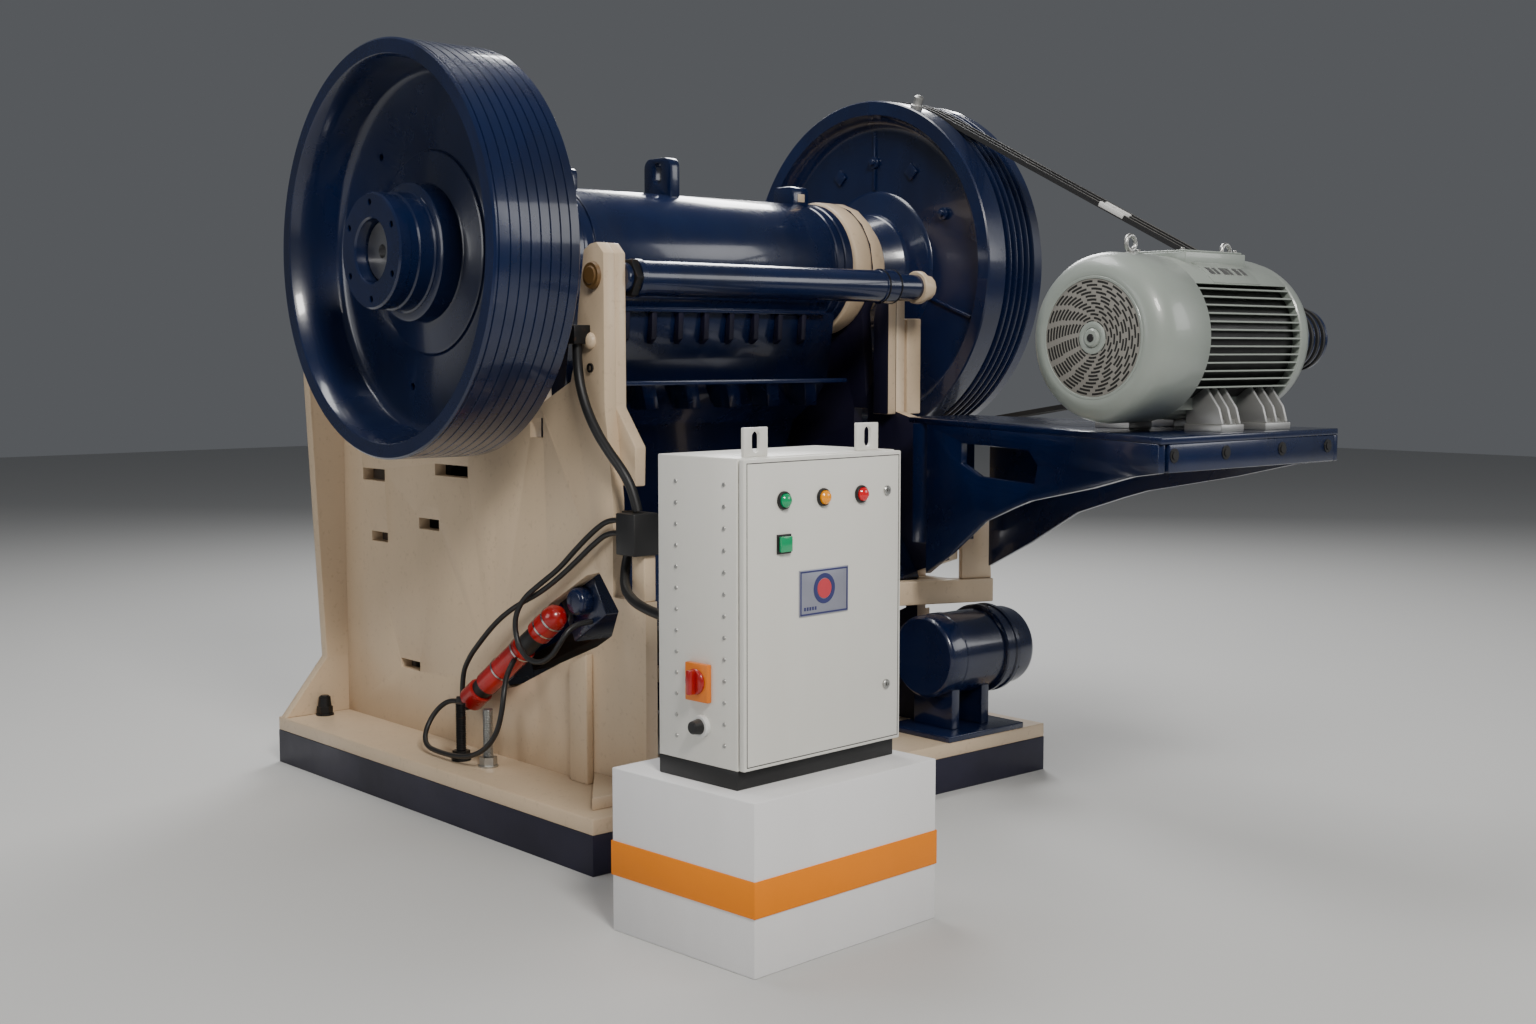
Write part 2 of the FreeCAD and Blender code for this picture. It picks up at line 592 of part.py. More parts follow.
# ------------------------------------------------------------------ V belts
def belt_loop(r_wheel, r_pulley):
    """Closed loop round both wheels as a face outline in the yz plane."""
    y1, z1 = -val("motor_y"), val("motor_z")
    z0 = val("shaft_z")
    gap = math.hypot(y1, z1 - z0)
    slope = math.atan2(z1 - z0, y1)
    lean = math.acos((r_wheel - r_pulley) / gap)
    at = lambda cy, cz, r, a: V(0, cy + r * math.cos(a), cz + r * math.sin(a))
    a1, a2 = slope + lean, slope - lean
    far = slope + math.pi
    return Part.Wire([
        Part.Arc(at(0, z0, r_wheel, a1), at(0, z0, r_wheel, far), at(0, z0, r_wheel, a2)).toShape(),
        Part.LineSegment(at(0, z0, r_wheel, a2), at(y1, z1, r_pulley, a2)).toShape(),
        Part.Arc(at(y1, z1, r_pulley, a2), at(y1, z1, r_pulley, slope),
                 at(y1, z1, r_pulley, a1)).toShape(),
        Part.LineSegment(at(y1, z1, r_pulley, a1), at(0, z0, r_wheel, a1)).toShape()])


belts = []
low = val("groove_deep") - 8
for i in range(int(val("belt_count"))):
    outer = Part.Face(belt_loop(val("wheel_rad") + 4, val("pulley_rad") + 4))
    inner = Part.Face(belt_loop(val("wheel_rad") - low, val("pulley_rad") - low))
    ring = outer.cut(inner)
    x = val(BELT) - i * val("groove_pitch")
    ring.translate(V(x - 5, 0, 0))
    belts.append(ring.extrude(V(10, 0, 0)))
loop = doc.addObject("Part::Feature", "drive_belts")
loop.Shape = Part.makeCompound([s for b_ in belts for s in b_.Solids])
loop.Placement = FreeCAD.Placement()
keep(loop, "drive_belts")

# --------------------------------------------------------------- pump drive
drum = turned("pump_motor", [
    ("560", "0"), ("560", "drum_rad - 12"), ("575", "drum_rad"), ("850", "drum_rad"),
    ("850", "drum_rad + 15"), ("920", "drum_rad + 15"), ("920", "drum_rad - 4"),
    ("1000", "drum_rad - 4"), ("1040", "drum_rad - 40"), ("1040", "0")])
place(drum, y="-drum_y", z="drum_z")
boxes("pump_base", [("520", "-base_rear", BASE, "base_half_x - 120", "-540", BASE + " + 22")])
scooped("pump_feet", [(a, "-drum_y - 95", BASE + " + 22", b_, "-drum_y + 95", "drum_z - 90")
                      for a, b_ in (("620", "660"), ("780", "820"))],
        "560", "850", "-drum_y", "drum_z", "drum_rad + 0.3")

# ------------------------------------------------- holding-down studs
STUDS = [(897, 1081, 80), (898, -66, 200), (914, 78, 200)]
studs = []
for i, (x, y, tall) in enumerate(STUDS):
    for sx in (-x, x):
        b = new_body("stud_%d" % len(studs))
        pad(b, circles(b, "XY_Plane", [(str(sx), str(y), "18")], BASE), str(tall))
        pad(b, circles(b, "XY_Plane", [(str(sx), str(y), "29")], BASE), "34")
        studs.append(b)
pair("holding_studs", studs)

# ---------------------------------------- adjusting cylinder in the left slot
TOP, LOW = V(-790, -310, 700), V(-850, 113, 370)
reach = (LOW - TOP).Length
cyl = turned("adjusting_cylinder", [
    ("-38", "0"), ("-30", "24"), ("-12", "40"), ("10", "45"), ("95", "45"), ("98", "36"),
    ("190", "36"), ("193", "43"), ("%.1f - 110" % reach, "43"), ("%.1f - 106" % reach, "36"),
    ("%.1f - 70" % reach, "36"), ("%.1f - 66" % reach, "45"), ("%.1f" % reach, "45"),
    ("%.1f" % reach, "0")])
cyl.Placement = FreeCAD.Placement(TOP, FreeCAD.Rotation(V(1, 0, 0), LOW - TOP))
boss = turned("cylinder_boss", [("-plate_in - 50", "0"), ("-plate_in - 50", "36"),
                                ("-plate_in - 40", "45"), ("-plate_in", "45"),
                                ("-plate_in", "0")])
place(boss, y="-398", z="757.5")

# -------------------------------------------------- cables, hoses, junction
boxes("junction_block", [("-825", "-785", "940", "-722", "-690", "1070")])
boxes("junction_post", [("-plate_in - plate_thick", "-770", "foot_top", "-plate_in", "-705",
                         "940")])
boxes("cable_fittings", [
    ("-838", "-500", "1590", "-plate_in - plate_thick", "-440", "1650"),
    ("-765", "-690", "1030", "-725", "-640", "1070"),
    ("-868", "117.5", "334", "-832", "182", "374")])
CABLES = {
    "main_cable": (32, [(-806, -470, 1590), (-806, -470, 1505), (-808, -508, 1405),
                        (-810, -572, 1318), (-805, -636, 1252), (-793, -690, 1196),
                        (-781, -724, 1136), (-775, -738, 1075)]),
    "feed_cable": (32, [(-745, -660, 1030), (-745, -660, 960), (-772, -668, 892),
                        (-804, -706, 836), (-824, -775, 803), (-836, -870, 786),
                        (-850, -990, 776), (-870, -1130, 762), (-894, -1250, 740),
                        (-914.3, -1324.4, 718), (-910.3, -1399, 718)]),
    "upper_hose": (18, [(-800, -690, 1045), (-800, -628, 1045), (-807, -560, 1008),
                        (-814, -465, 938), (-820, -380, 868), (-840, -300, 812),
                        (-866, -238, 760), (-880, -207, 695), (-881, -217, 625),
                        (-881, -262, 572), (-873, -330, 556), (-862, -392, 586),
                        (-850, -422, 634), (-806, -430, 692), (-730.5, -430, 692)]),
    "lower_hose": (18, [(-800, -690, 1005), (-800, -628, 1005), (-808, -560, 966),
                        (-816, -460, 893), (-822, -370, 832), (-832, -280, 778),
                        (-842, -190, 738), (-850, -105, 692), (-854, -30, 640),
                        (-855, 45, 578), (-856, 110, 520), (-850, 168, 450),
                        (-850, 168, 374)]),
    "ring_hose": (18, [(-850, 182, 352), (-850, 240, 352), (-869, 288, 323),
                       (-899, 306, 276), (-932, 288, 229), (-952, 240, 200),
                       (-956, 160, 196), (-960, 55, 199), (-957, -45, 213),
                       (-952, -130, 250), (-948, -195, 312), (-944, -222, 388),
                       (-930, -215, 455), (-896, -184, 513), (-849, -155, 542)]),
}


def cable(label, dia, route):
    """Tube of straight runs joined by tangent arcs."""
    pts = [V(*q) for q in route]
    edges, here, radii = [], pts[0], []
    for a, b, c in zip(pts, pts[1:], pts[2:]):
        u, w = (a - b).normalize(), (c - b).normalize()
        half = (math.pi - u.getAngle(w)) / 2
        cut = 0.45 * min((a - b).Length, (c - b).Length)
        radii.append(cut / math.tan(half))
        start, end = b + u * cut, b + w * cut
        inward = (u + w).normalize()
        mid = b + inward * (radii[-1] / math.cos(half) - radii[-1])
        edges += [Part.LineSegment(here, start).toShape(), Part.Arc(start, mid, end).toShape()]
        here = end
    edges.append(Part.LineSegment(here, pts[-1]).toShape())
    path = Part.Wire(edges)
    ring = Part.Wire([Part.Circle(pts[0], pts[1] - pts[0], dia / 2).toShape()])
    tube = path.makePipeShell([ring], True, True)
    obj = doc.addObject("Part::Feature", label)
    obj.Shape = tube
    obj.Placement = FreeCAD.Placement()
    area = math.pi * dia ** 2 / 4
    print("%s: length %.0f mm, radii %s, volume ratio %.4f" % (
        label, path.Length, [round(r) for r in radii], tube.Volume / (area * path.Length)))
    return keep(obj, label)


for name, (dia, route) in CABLES.items():
    cable(name, dia, route)

# ------------------------------------------------------- control cabinet
FRAME = dict(x="ped_x", y="ped_y", turn="ped_turn")


def cab_box(label, u0, v0, u1, v1, low, tall):
    b = plate_xy(label, rect(u0, v0, u1, v1), low, tall)
    place(b, **FRAME)
    return b


cab_box("pedestal", "0", "0", "ped_wide", "ped_deep", "0", "ped_tall")
band = cab_box("pedestal_band", "-3", "-3", "ped_wide + 3", "ped_deep + 3", "band_low",
               "band_tall")
pocket(band, polygon(band, "XY_Plane", rect("0", "0", "ped_wide", "ped_deep")))
cab_box("cabinet_plinth", "cab_x", "cab_y", "cab_x + cab_wide", "cab_y + cab_deep",
        "ped_tall", "plinth_tall")
CAB = "ped_tall + plinth_tall"
shell = cab_box("cabinet_box", "cab_x", "cab_y", "cab_x + cab_wide", "cab_y + cab_deep",
                CAB, "cab_tall")
pocket(shell, polygon(shell, "XZ_Plane", rect("cab_x + 15", CAB + " + 15",
                                              "cab_x + cab_wide - 15",
                                              CAB + " + cab_tall - 15"), "-cab_y - 0"),
       "cab_deep - 15")
door = cab_box("cabinet_door", "cab_x + 1", "cab_y - 5 - door_thick",
               "cab_x + cab_wide - 1", "cab_y - 5", CAB + " + 2", "cab_tall - 4")
pocket(door, circles(door, "XY_Plane", [("cab_x + 10", "cab_y - 15", "5")]))


def on_cabinet(label, rows):
    """Small blocks set out in the cabinet's own turned frame."""
    c = boxes(label, rows, group=True)
    place(c, **FRAME)
    return c


DOOR = "cab_y - 5 - door_thick"
LAMP_Z = CAB + " + cab_tall * 0.86"


def lamp(u, low):
    return ("cab_x + cab_wide * %g - 25" % u, DOOR + " - 22", low + " - 25",
            "cab_x + cab_wide * %g + 25" % u, DOOR, low + " + 25")


on_cabinet("door_lamps", [lamp(0.235, LAMP_Z), lamp(0.48, LAMP_Z), lamp(0.725, LAMP_Z),
                          lamp(0.235, CAB + " + cab_tall * 0.72")])
on_cabinet("door_locks", [("cab_x + cab_wide * 0.9 - 12", DOOR + " - 8",
                           CAB + " + cab_tall * %g - 14" % v,
                           "cab_x + cab_wide * 0.9 + 12", DOOR,
                           CAB + " + cab_tall * %g + 14" % v) for v in (0.865, 0.2)])
on_cabinet("badge_plate", [("cab_x + cab_wide * 0.485 - 93", DOOR + " - 3",
                            CAB + " + cab_tall * 0.55 - 61",
                            "cab_x + cab_wide * 0.485 + 93", DOOR,
                            CAB + " + cab_tall * 0.55 + 61")])
on_cabinet("side_switch", [("cab_x - 45", "cab_y + 95", CAB + " + 165", "cab_x",
                            "cab_y + 180", CAB + " + 265")])
on_cabinet("side_knob", [("cab_x - 40", "cab_y + 100", CAB + " + 70", "cab_x",
                          "cab_y + 160", CAB + " + 130")])
on_cabinet("cabinet_ears", [
    (u0, "cab_y + 20", CAB + " + cab_tall", u1, "cab_y + 32", CAB + " + cab_tall + 75")
    for u0, u1 in (("cab_x + 45", "cab_x + 130"),
                   ("cab_x + cab_wide - 130", "cab_x + cab_wide - 45"))])

doc.recompute()
os.makedirs("parts", exist_ok=True)
bad = [o.Name + " " + str(o.State) for o in doc.Objects
       if "Invalid" in o.State or "Error" in o.State]
for o in PARTS:
    if o.Shape.isNull() or not o.Shape.isValid():
        bad.append(o.Label + " shape")
if bad:
    raise RuntimeError("; ".join(bad))
for o in PARTS:
    o.Shape.exportStep("parts/%s.step" % o.Label)
    bb = o.Shape.BoundBox
    print("%-24s %d solids %8.1f kg  x %.0f..%.0f y %.0f..%.0f z %.0f..%.0f" % (
        o.Label, len(o.Shape.Solids), o.Shape.Volume * 7.85e-6,
        bb.XMin, bb.XMax, bb.YMin, bb.YMax, bb.ZMin, bb.ZMax))
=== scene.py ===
import math

import bpy
from mathutils import Matrix, Vector


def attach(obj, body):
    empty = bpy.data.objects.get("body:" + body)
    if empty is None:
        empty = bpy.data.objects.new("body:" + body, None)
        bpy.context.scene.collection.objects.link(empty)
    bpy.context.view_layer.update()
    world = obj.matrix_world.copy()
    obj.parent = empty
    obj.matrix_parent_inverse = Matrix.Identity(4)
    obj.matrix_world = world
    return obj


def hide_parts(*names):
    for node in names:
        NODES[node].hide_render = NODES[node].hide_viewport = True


bl_info = {
    "name": "Jaw Crusher Looks",
    "version": (1, 0, 0),
    "blender": (4, 5, 0),
    "location": "3D View > Sidebar > Crusher",
    "description": "Builds the visible pieces of a jaw crusher round its CAD frame",
    "category": "Object",
}

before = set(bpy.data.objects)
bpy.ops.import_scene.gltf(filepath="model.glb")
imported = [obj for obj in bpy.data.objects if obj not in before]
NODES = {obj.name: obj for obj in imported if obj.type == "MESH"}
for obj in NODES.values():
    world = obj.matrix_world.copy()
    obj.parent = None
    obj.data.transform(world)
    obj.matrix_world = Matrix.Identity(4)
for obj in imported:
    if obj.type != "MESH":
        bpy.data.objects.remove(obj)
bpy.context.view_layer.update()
for thing in bpy.context.selected_objects:
    thing.select_set(False)

# sizes in millimetres unless a name says otherwise
MM = 0.001
SHAFT_Z = 1885
SHAFT = (0, 0, SHAFT_Z)
TUBE = (0, -540, 1800)
PUMP = (0, -686, 460)
WHEEL_RAD, WHEEL_IN, WHEEL_OUT = 665, 927, 1235
WEB_IN, WEB_OUT = 995, 1045
LINES = [965 + 36 * i for i in range(7)] + [1221]
GROOVES = [1036 + 34 * i for i in range(5)]
BELTS = GROOVES[:3]
BELT_OVER_WHEEL, BELT_OVER_PULLEY = 669, 104
FLANGE_TOP, TABLE_TOP = 175, 1330
FINS_FROM, FINS_TO, FIN_PITCH, FIN_HALF = 268, 738, 24, 2.5
CAB_LOW, CAB_TALL, CAB_LEFT, CAB_WIDE, DOOR_FACE = 500, 800, 56, 600, 95
FRAME, WHEELS, ROTOR, JAW, LEAF = ("frame", "flywheels", "motor_rotor", "swing_jaw",
                                   "cabinet_door_leaf")
CAB = Matrix.Translation((-1.262, -1.839, 0)) @ Matrix.Rotation(math.radians(3.1), 4, "Z")
MOTOR = (0, -1850, 1606)


# ------------------------------------------------------------------ properties
def colour(name, text, value):
    return bpy.props.FloatVectorProperty(name=name, description=text, default=value, size=3,
                                         min=0, max=1, subtype="COLOR")


class CrusherLook(bpy.types.PropertyGroup):
    """Colours and sizes that a user may change before building."""
    navy: colour("Machine enamel", "Main blue enamel", (0.0045, 0.0125, 0.054))
    skid: colour("Skid enamel", "Darker enamel of the skid", (0.008, 0.007, 0.030))
    cream: colour("Plate enamel", "Cream enamel of the plates", (0.66, 0.51, 0.35))
    sage: colour("Motor enamel", "Grey green of the motor", (0.30, 0.335, 0.305))
    white: colour("Cabinet", "Powder coat of the cabinet", (0.74, 0.73, 0.68))
    plinth: colour("Plinth", "White of the plinth", (0.82, 0.815, 0.82))
    band: colour("Band", "Orange band round the plinth", (0.92, 0.25, 0.0))
    red: colour("Cylinder enamel", "Red of the adjusting cylinder", (0.55, 0.008, 0.008))
    edge: bpy.props.FloatProperty(name="Edge rounding", description="Rounding of plate edges",
                                  default=0.004, min=0, max=0.02, subtype="DISTANCE",
                                  unit="LENGTH")
    turns: bpy.props.IntProperty(name="Turned steps", description="Faces round a turned piece",
                                 default=128, min=24, max=256)
    lamp: bpy.props.FloatProperty(name="Lamp glow", description="Glow of the lamp lenses",
                                  default=0.35, min=0, max=5)


def look():
    return bpy.context.scene.crusher_look


# ------------------------------------------------------------------- materials
def link(tree, a, b):
    tree.links.new(a, b)


def node(tree, kind, where=None, **values):
    n = tree.nodes.new("ShaderNode" + kind)
    for key, value in values.items():
        setattr(n, key, value)
    for key, value in (where or {}).items():
        if isinstance(value, bpy.types.NodeSocket):
            tree.links.new(value, n.inputs[key])
        else:
            n.inputs[key].default_value = value
    return n


def surface_group():
    """Shared surface detail: slow tone, streaks, specks, dust on upward faces and a bumped normal.
    """
    if "Surface Detail" in bpy.data.node_groups:
        return bpy.data.node_groups["Surface Detail"]
    g = bpy.data.node_groups.new("Surface Detail", "ShaderNodeTree")
    for name, kind in (("Vector", "NodeSocketVector"), ("Grain", "NodeSocketFloat"),
                       ("Grain Scale", "NodeSocketFloat"), ("Wave", "NodeSocketFloat")):
        g.interface.new_socket(name=name, in_out="INPUT", socket_type=kind)
    for name, kind in (("Tone", "NodeSocketFloat"), ("Streak", "NodeSocketFloat"),
                       ("Speck", "NodeSocketFloat"), ("Dust", "NodeSocketFloat"),
                       ("Normal", "NodeSocketVector")):
        g.interface.new_socket(name=name, in_out="OUTPUT", socket_type=kind)
    enter, leave = g.nodes.new("NodeGroupInput"), g.nodes.new("NodeGroupOutput")
    at = enter.outputs["Vector"]
    tone = node(g, "TexNoise", {"Vector": at, "Scale": 2.3, "Detail": 7.0, "Roughness": 0.62})
    tall = node(g, "Mapping", {"Vector": at, "Scale": (9, 9, 0.9)})
    streak = node(g, "TexNoise", {"Vector": tall.outputs[0], "Scale": 1.0, "Detail": 5.0})
    speck = node(g, "TexNoise", {"Vector": at, "Scale": 55.0, "Detail": 3.0})
    grain = node(g, "TexNoise", {"Vector": at, "Scale": enter.outputs["Grain Scale"],
                                 "Detail": 2.0})
    wave = node(g, "TexNoise", {"Vector": at, "Scale": 14.0, "Detail": 2.0})
    facing = node(g, "NewGeometry")
    up = node(g, "SeparateXYZ", {"Vector": facing.outputs["True Normal"]})
    lie = node(g, "MapRange", {"Value": up.outputs["Z"], "From Min": 0.55, "From Max": 0.98})
    rub = node(g, "MapRange", {"Value": tone.outputs[0], "From Min": 0.38, "From Max": 0.62})
    dust = node(g, "Math", {0: lie.outputs[0], 1: rub.outputs[0]}, operation="MULTIPLY")
    first = node(g, "Bump", {"Height": wave.outputs[0], "Strength": enter.outputs["Wave"],
                             "Distance": 0.004})
    second = node(g, "Bump", {"Height": grain.outputs[0], "Strength": enter.outputs["Grain"],
                              "Distance": 0.0006, "Normal": first.outputs[0]})
    for name, spread, source in (("Tone", (0.36, 0.64), tone), ("Streak", (0.42, 0.68), streak),
                                 ("Speck", (0.60, 0.72), speck)):
        m = node(g, "MapRange", {"Value": source.outputs[0], "From Min": spread[0],
                                 "From Max": spread[1]})
        link(g, m.outputs[0], leave.inputs[name])
    link(g, dust.outputs[0], leave.inputs["Dust"])
    link(g, second.outputs[0], leave.inputs["Normal"])
    return g


def mixed(tree, factor, a, b, share=1.0):
    """Colour a blended to b by a mask times share."""
    if share != 1.0:
        factor = node(tree, "Math", {0: factor, 1: share}, operation="MULTIPLY").outputs[0]
    m = node(tree, "Mix", data_type="RGBA")
    link(tree, factor, m.inputs[0])
    for slot, value in ((6, a), (7, b)):
        if isinstance(value, bpy.types.NodeSocket):
            link(tree, value, m.inputs[slot])
        else:
            m.inputs[slot].default_value = (*value, 1)
    return m.outputs[2]


def finish(name, base, rough, deep=0.85, metal=0.0, coat=0.0, grain=0.1, grain_scale=900.0,
           wave=0.05, streak=None, streak_share=0.3, speck=None, speck_share=0.2, dust=0.15,
           glow=0.0, specular=0.5, spread=0.12):
    """One material: a base colour varied by the shared detail masks."""
    if name in bpy.data.materials:
        return bpy.data.materials[name]
    m = bpy.data.materials.new(name)
    m.use_nodes = True
    t = m.node_tree
    t.nodes.clear()
    out = t.nodes.new("ShaderNodeOutputMaterial")
    skin = node(t, "BsdfPrincipled", {"Metallic": metal, "Coat Weight": coat,
                                      "Coat Roughness": 0.08, "Specular IOR Level": specular})
    place = node(t, "TexCoord")
    detail = t.nodes.new("ShaderNodeGroup")
    detail.node_tree = surface_group()
    link(t, place.outputs["Object"], detail.inputs["Vector"])
    for key, value in (("Grain", grain), ("Grain Scale", grain_scale), ("Wave", wave)):
        detail.inputs[key].default_value = value
    dark = tuple(c * deep for c in base)
    c = mixed(t, detail.outputs["Tone"], dark, base)
    c = mixed(t, detail.outputs["Streak"], c, streak or dark, streak_share)
    c = mixed(t, detail.outputs["Speck"], c, speck or dark, speck_share)
    c = mixed(t, detail.outputs["Dust"], c, (0.40, 0.37, 0.32), dust)
    link(t, c, skin.inputs["Base Color"])
    r = node(t, "MapRange", {"Value": detail.outputs["Tone"], "To Min": rough + spread,
                             "To Max": rough})
    link(t, r.outputs[0], skin.inputs["Roughness"])
    link(t, detail.outputs["Normal"], skin.inputs["Normal"])
    if glow:
        link(t, c, skin.inputs["Emission Color"])
        skin.inputs["Emission Strength"].default_value = glow
    link(t, skin.outputs[0], out.inputs["Surface"])
    return m


def grille_finish():
    """Punched sheet: rings of small dark slots in a pale grey sheet, about the motor axis."""
    m = finish("Punched Sheet", (0.27, 0.26, 0.235), 0.5, metal=0.2)
    t = m.node_tree
    skin = next(n for n in t.nodes if n.type == "BSDF_PRINCIPLED")
    place = next(n for n in t.nodes if n.type == "TEX_COORD")
    put = node(t, "Mapping", {"Vector": place.outputs["Object"], "Location": (0, 1.850, -1.606)})
    cut = node(t, "SeparateXYZ", {"Vector": put.outputs[0]})
    angle = node(t, "Math", {0: cut.outputs["Z"], 1: cut.outputs["Y"]}, operation="ARCTAN2")
    flat = node(t, "CombineXYZ", {"X": cut.outputs["Y"], "Y": cut.outputs["Z"], "Z": 0.0})
    far = node(t, "VectorMath", {0: flat.outputs[0]}, operation="LENGTH")
    ring = node(t, "Math", {0: far.outputs["Value"], 1: 95.0}, operation="MULTIPLY")
    part = node(t, "Math", {0: ring.outputs[0]}, operation="FRACT")
    number = node(t, "Math", {0: ring.outputs[0]}, operation="FLOOR")
    count = node(t, "Math", {0: number.outputs[0], 1: 0.95}, operation="MULTIPLY")
    count = node(t, "Math", {0: count.outputs[0], 1: 4.0}, operation="ADD")
    count = node(t, "Math", {0: count.outputs[0]}, operation="ROUND")
    shift = node(t, "Math", {0: number.outputs[0], 1: 0.37}, operation="MULTIPLY")
    way = node(t, "Math", {0: angle.outputs[0], 1: count.outputs[0]}, operation="MULTIPLY")
    way = node(t, "Math", {0: way.outputs[0], 1: shift.outputs[0]}, operation="ADD")
    wave = node(t, "Math", {0: way.outputs[0]}, operation="COSINE")
    radial = node(t, "Math", {0: part.outputs[0], 1: 0.5}, operation="SUBTRACT")
    radial = node(t, "Math", {0: radial.outputs[0]}, operation="ABSOLUTE")
    inside = node(t, "Math", {0: radial.outputs[0], 1: 0.30}, operation="LESS_THAN")
    open_ = node(t, "Math", {0: wave.outputs[0], 1: -0.55}, operation="GREATER_THAN")
    hole = node(t, "Math", {0: inside.outputs[0], 1: open_.outputs[0]}, operation="MULTIPLY")
    old = skin.inputs["Base Color"].links[0].from_socket
    link(t, mixed(t, hole.outputs[0], old, (0.008, 0.008, 0.007)), skin.inputs["Base Color"])
    back = node(t, "Math", {0: 1.0, 1: hole.outputs[0]}, operation="SUBTRACT")
    bump = node(t, "Bump", {"Height": back.outputs[0], "Strength": 0.6, "Distance": 0.003})
    link(t, bump.outputs[0], skin.inputs["Normal"])
    return m


def materials():
    s = look()
    rust, dirt = (0.16, 0.07, 0.03), (0.25, 0.20, 0.14)
    # the navy's streak colour is lighter than its base: these streaks are a painted sheen
    finish("Navy Enamel", tuple(s.navy), 0.20, deep=0.6, coat=0.55, wave=0.10, grain=0.06,
           grain_scale=400.0, streak=(0.010, 0.020, 0.060), streak_share=0.25, dust=0.014,
           speck_share=0.1)
    finish("Skid Enamel", tuple(s.skid), 0.42, deep=0.6, wave=0.10, dust=0.02)
    finish("Cream Enamel", tuple(s.cream), 0.36, deep=0.95, coat=0.12, wave=0.05, streak=dirt,
           streak_share=0.045, speck=rust, speck_share=0.14, dust=0.08)
    finish("Manganese", (0.12, 0.11, 0.10), 0.55, metal=0.7, grain=0.6, grain_scale=140.0,
           streak=rust, streak_share=0.5)
    finish("Turned Steel", (0.46, 0.46, 0.47), 0.28, metal=1.0, grain=0.1, streak=(0.2, 0.19, 0.18))
    finish("Sage Enamel", tuple(s.sage), 0.30, deep=0.9, coat=0.3, wave=0.08, streak_share=0.12,
           dust=0.12)
    finish("Cast Alloy", (0.55, 0.55, 0.54), 0.42, metal=0.85, grain=0.4, grain_scale=200.0)
    finish("Belt Rubber", (0.016, 0.016, 0.017), 0.55, grain=0.5, grain_scale=350.0, dust=0.25)
    finish("Hose Rubber", (0.011, 0.011, 0.012), 0.38, grain=0.3, grain_scale=500.0, dust=0.12)
    finish("Powder Coat", tuple(s.white), 0.34, deep=0.97, grain=0.25, grain_scale=700.0,
           streak=(0.5, 0.47, 0.4), streak_share=0.06, speck_share=0.04, dust=0.05)
    finish("Plinth White", tuple(s.plinth), 0.55, deep=0.97, grain=0.3, grain_scale=260.0,
           streak=(0.55, 0.53, 0.5), streak_share=0.07, speck_share=0.05, dust=0.05)
    finish("Orange Band", tuple(s.band), 0.42, deep=0.94, wave=0.10, streak_share=0.05,
           speck_share=0.05, dust=0.0, specular=0.25)
    finish("Satin Black", (0.012, 0.012, 0.013), 0.4, deep=0.6, grain=0.2)
    finish("Oxide Black", (0.03, 0.03, 0.032), 0.38, metal=0.8, grain=0.3, grain_scale=300.0,
           speck=rust, speck_share=0.3)
    finish("Zinc", (0.52, 0.52, 0.50), 0.34, metal=0.95, grain=0.2, streak_share=0.4)
    finish("Red Enamel", tuple(s.red), 0.20, deep=0.5, coat=0.5, streak=(0.1, 0.01, 0.01),
           streak_share=0.4)
    finish("Brown Plug", (0.20, 0.105, 0.03), 0.45, deep=0.5, streak_share=0.5)
    finish("Rod Chrome", (0.6, 0.6, 0.6), 0.12, metal=1.0, streak_share=0.3)
    for name, c in (("Green Lens", (0.0, 0.27, 0.10)), ("Amber Lens", (0.80, 0.28, 0.0)),
                    ("Red Lens", (0.55, 0.006, 0.012))):
        finish(name, c, 0.12, coat=0.6, glow=s.lamp, dust=0.0, streak_share=0.1)
    finish("Switch Orange", (0.78, 0.20, 0.012), 0.35, deep=0.85)
    finish("Knob White", (0.72, 0.72, 0.70), 0.35, deep=0.95)
    finish("Badge Metal", (0.36, 0.37, 0.45), 0.35, metal=0.5, deep=0.85)
    finish("Badge Ink", (0.035, 0.04, 0.16), 0.4)
    finish("Badge Red", (0.62, 0.05, 0.07), 0.4)
    grille_finish()


def mat(name):
    return bpy.data.materials[name]


# ------------------------------------------------------------------ mesh tools
def vec(*p):
    return Vector(p) * MM


def outline_of(points):
    """A path drawn by extruding one corner from point to point, left open in edit mode."""
    bpy.ops.mesh.primitive_plane_add(size=0.01, location=points[0], calc_uvs=False)
    bpy.ops.object.mode_set(mode="EDIT")
    bpy.ops.mesh.merge(type="CENTER")
    for here, there in zip(points, points[1:]):
        bpy.ops.mesh.extrude_region_move(TRANSFORM_OT_translate={"value": there - here})
    bpy.ops.mesh.select_all(action="SELECT")


def close_shell(parts):
    """Merges doubles, turns the faces outwards and leaves edit mode."""
    bpy.ops.mesh.select_all(action="SELECT")
    bpy.ops.mesh.remove_doubles(threshold=0.00001)
    bpy.ops.mesh.normals_make_consistent(inside=False)
    bpy.ops.object.mode_set(mode="OBJECT")
    parts.append(bpy.context.object)


def lathe(parts, profile, at=(0, 0, 0), axis=(1, 0, 0), steps=None):
    """Turned body from (along, radius) pairs; closed on itself when it ends off the axis."""
    turn = Vector((1, 0, 0)).rotation_difference(Vector(axis).normalized()).to_matrix()
    points = [vec(*at) + turn @ vec(along, radius, 0) for along, radius in profile]
    if profile[0][1] > 0 and profile[-1][1] > 0:
        points.append(points[0])
    outline_of(points)
    bpy.ops.mesh.spin(steps=steps or look().turns, angle=2 * math.pi, center=vec(*at),
                      axis=Vector(axis).normalized())
    close_shell(parts)


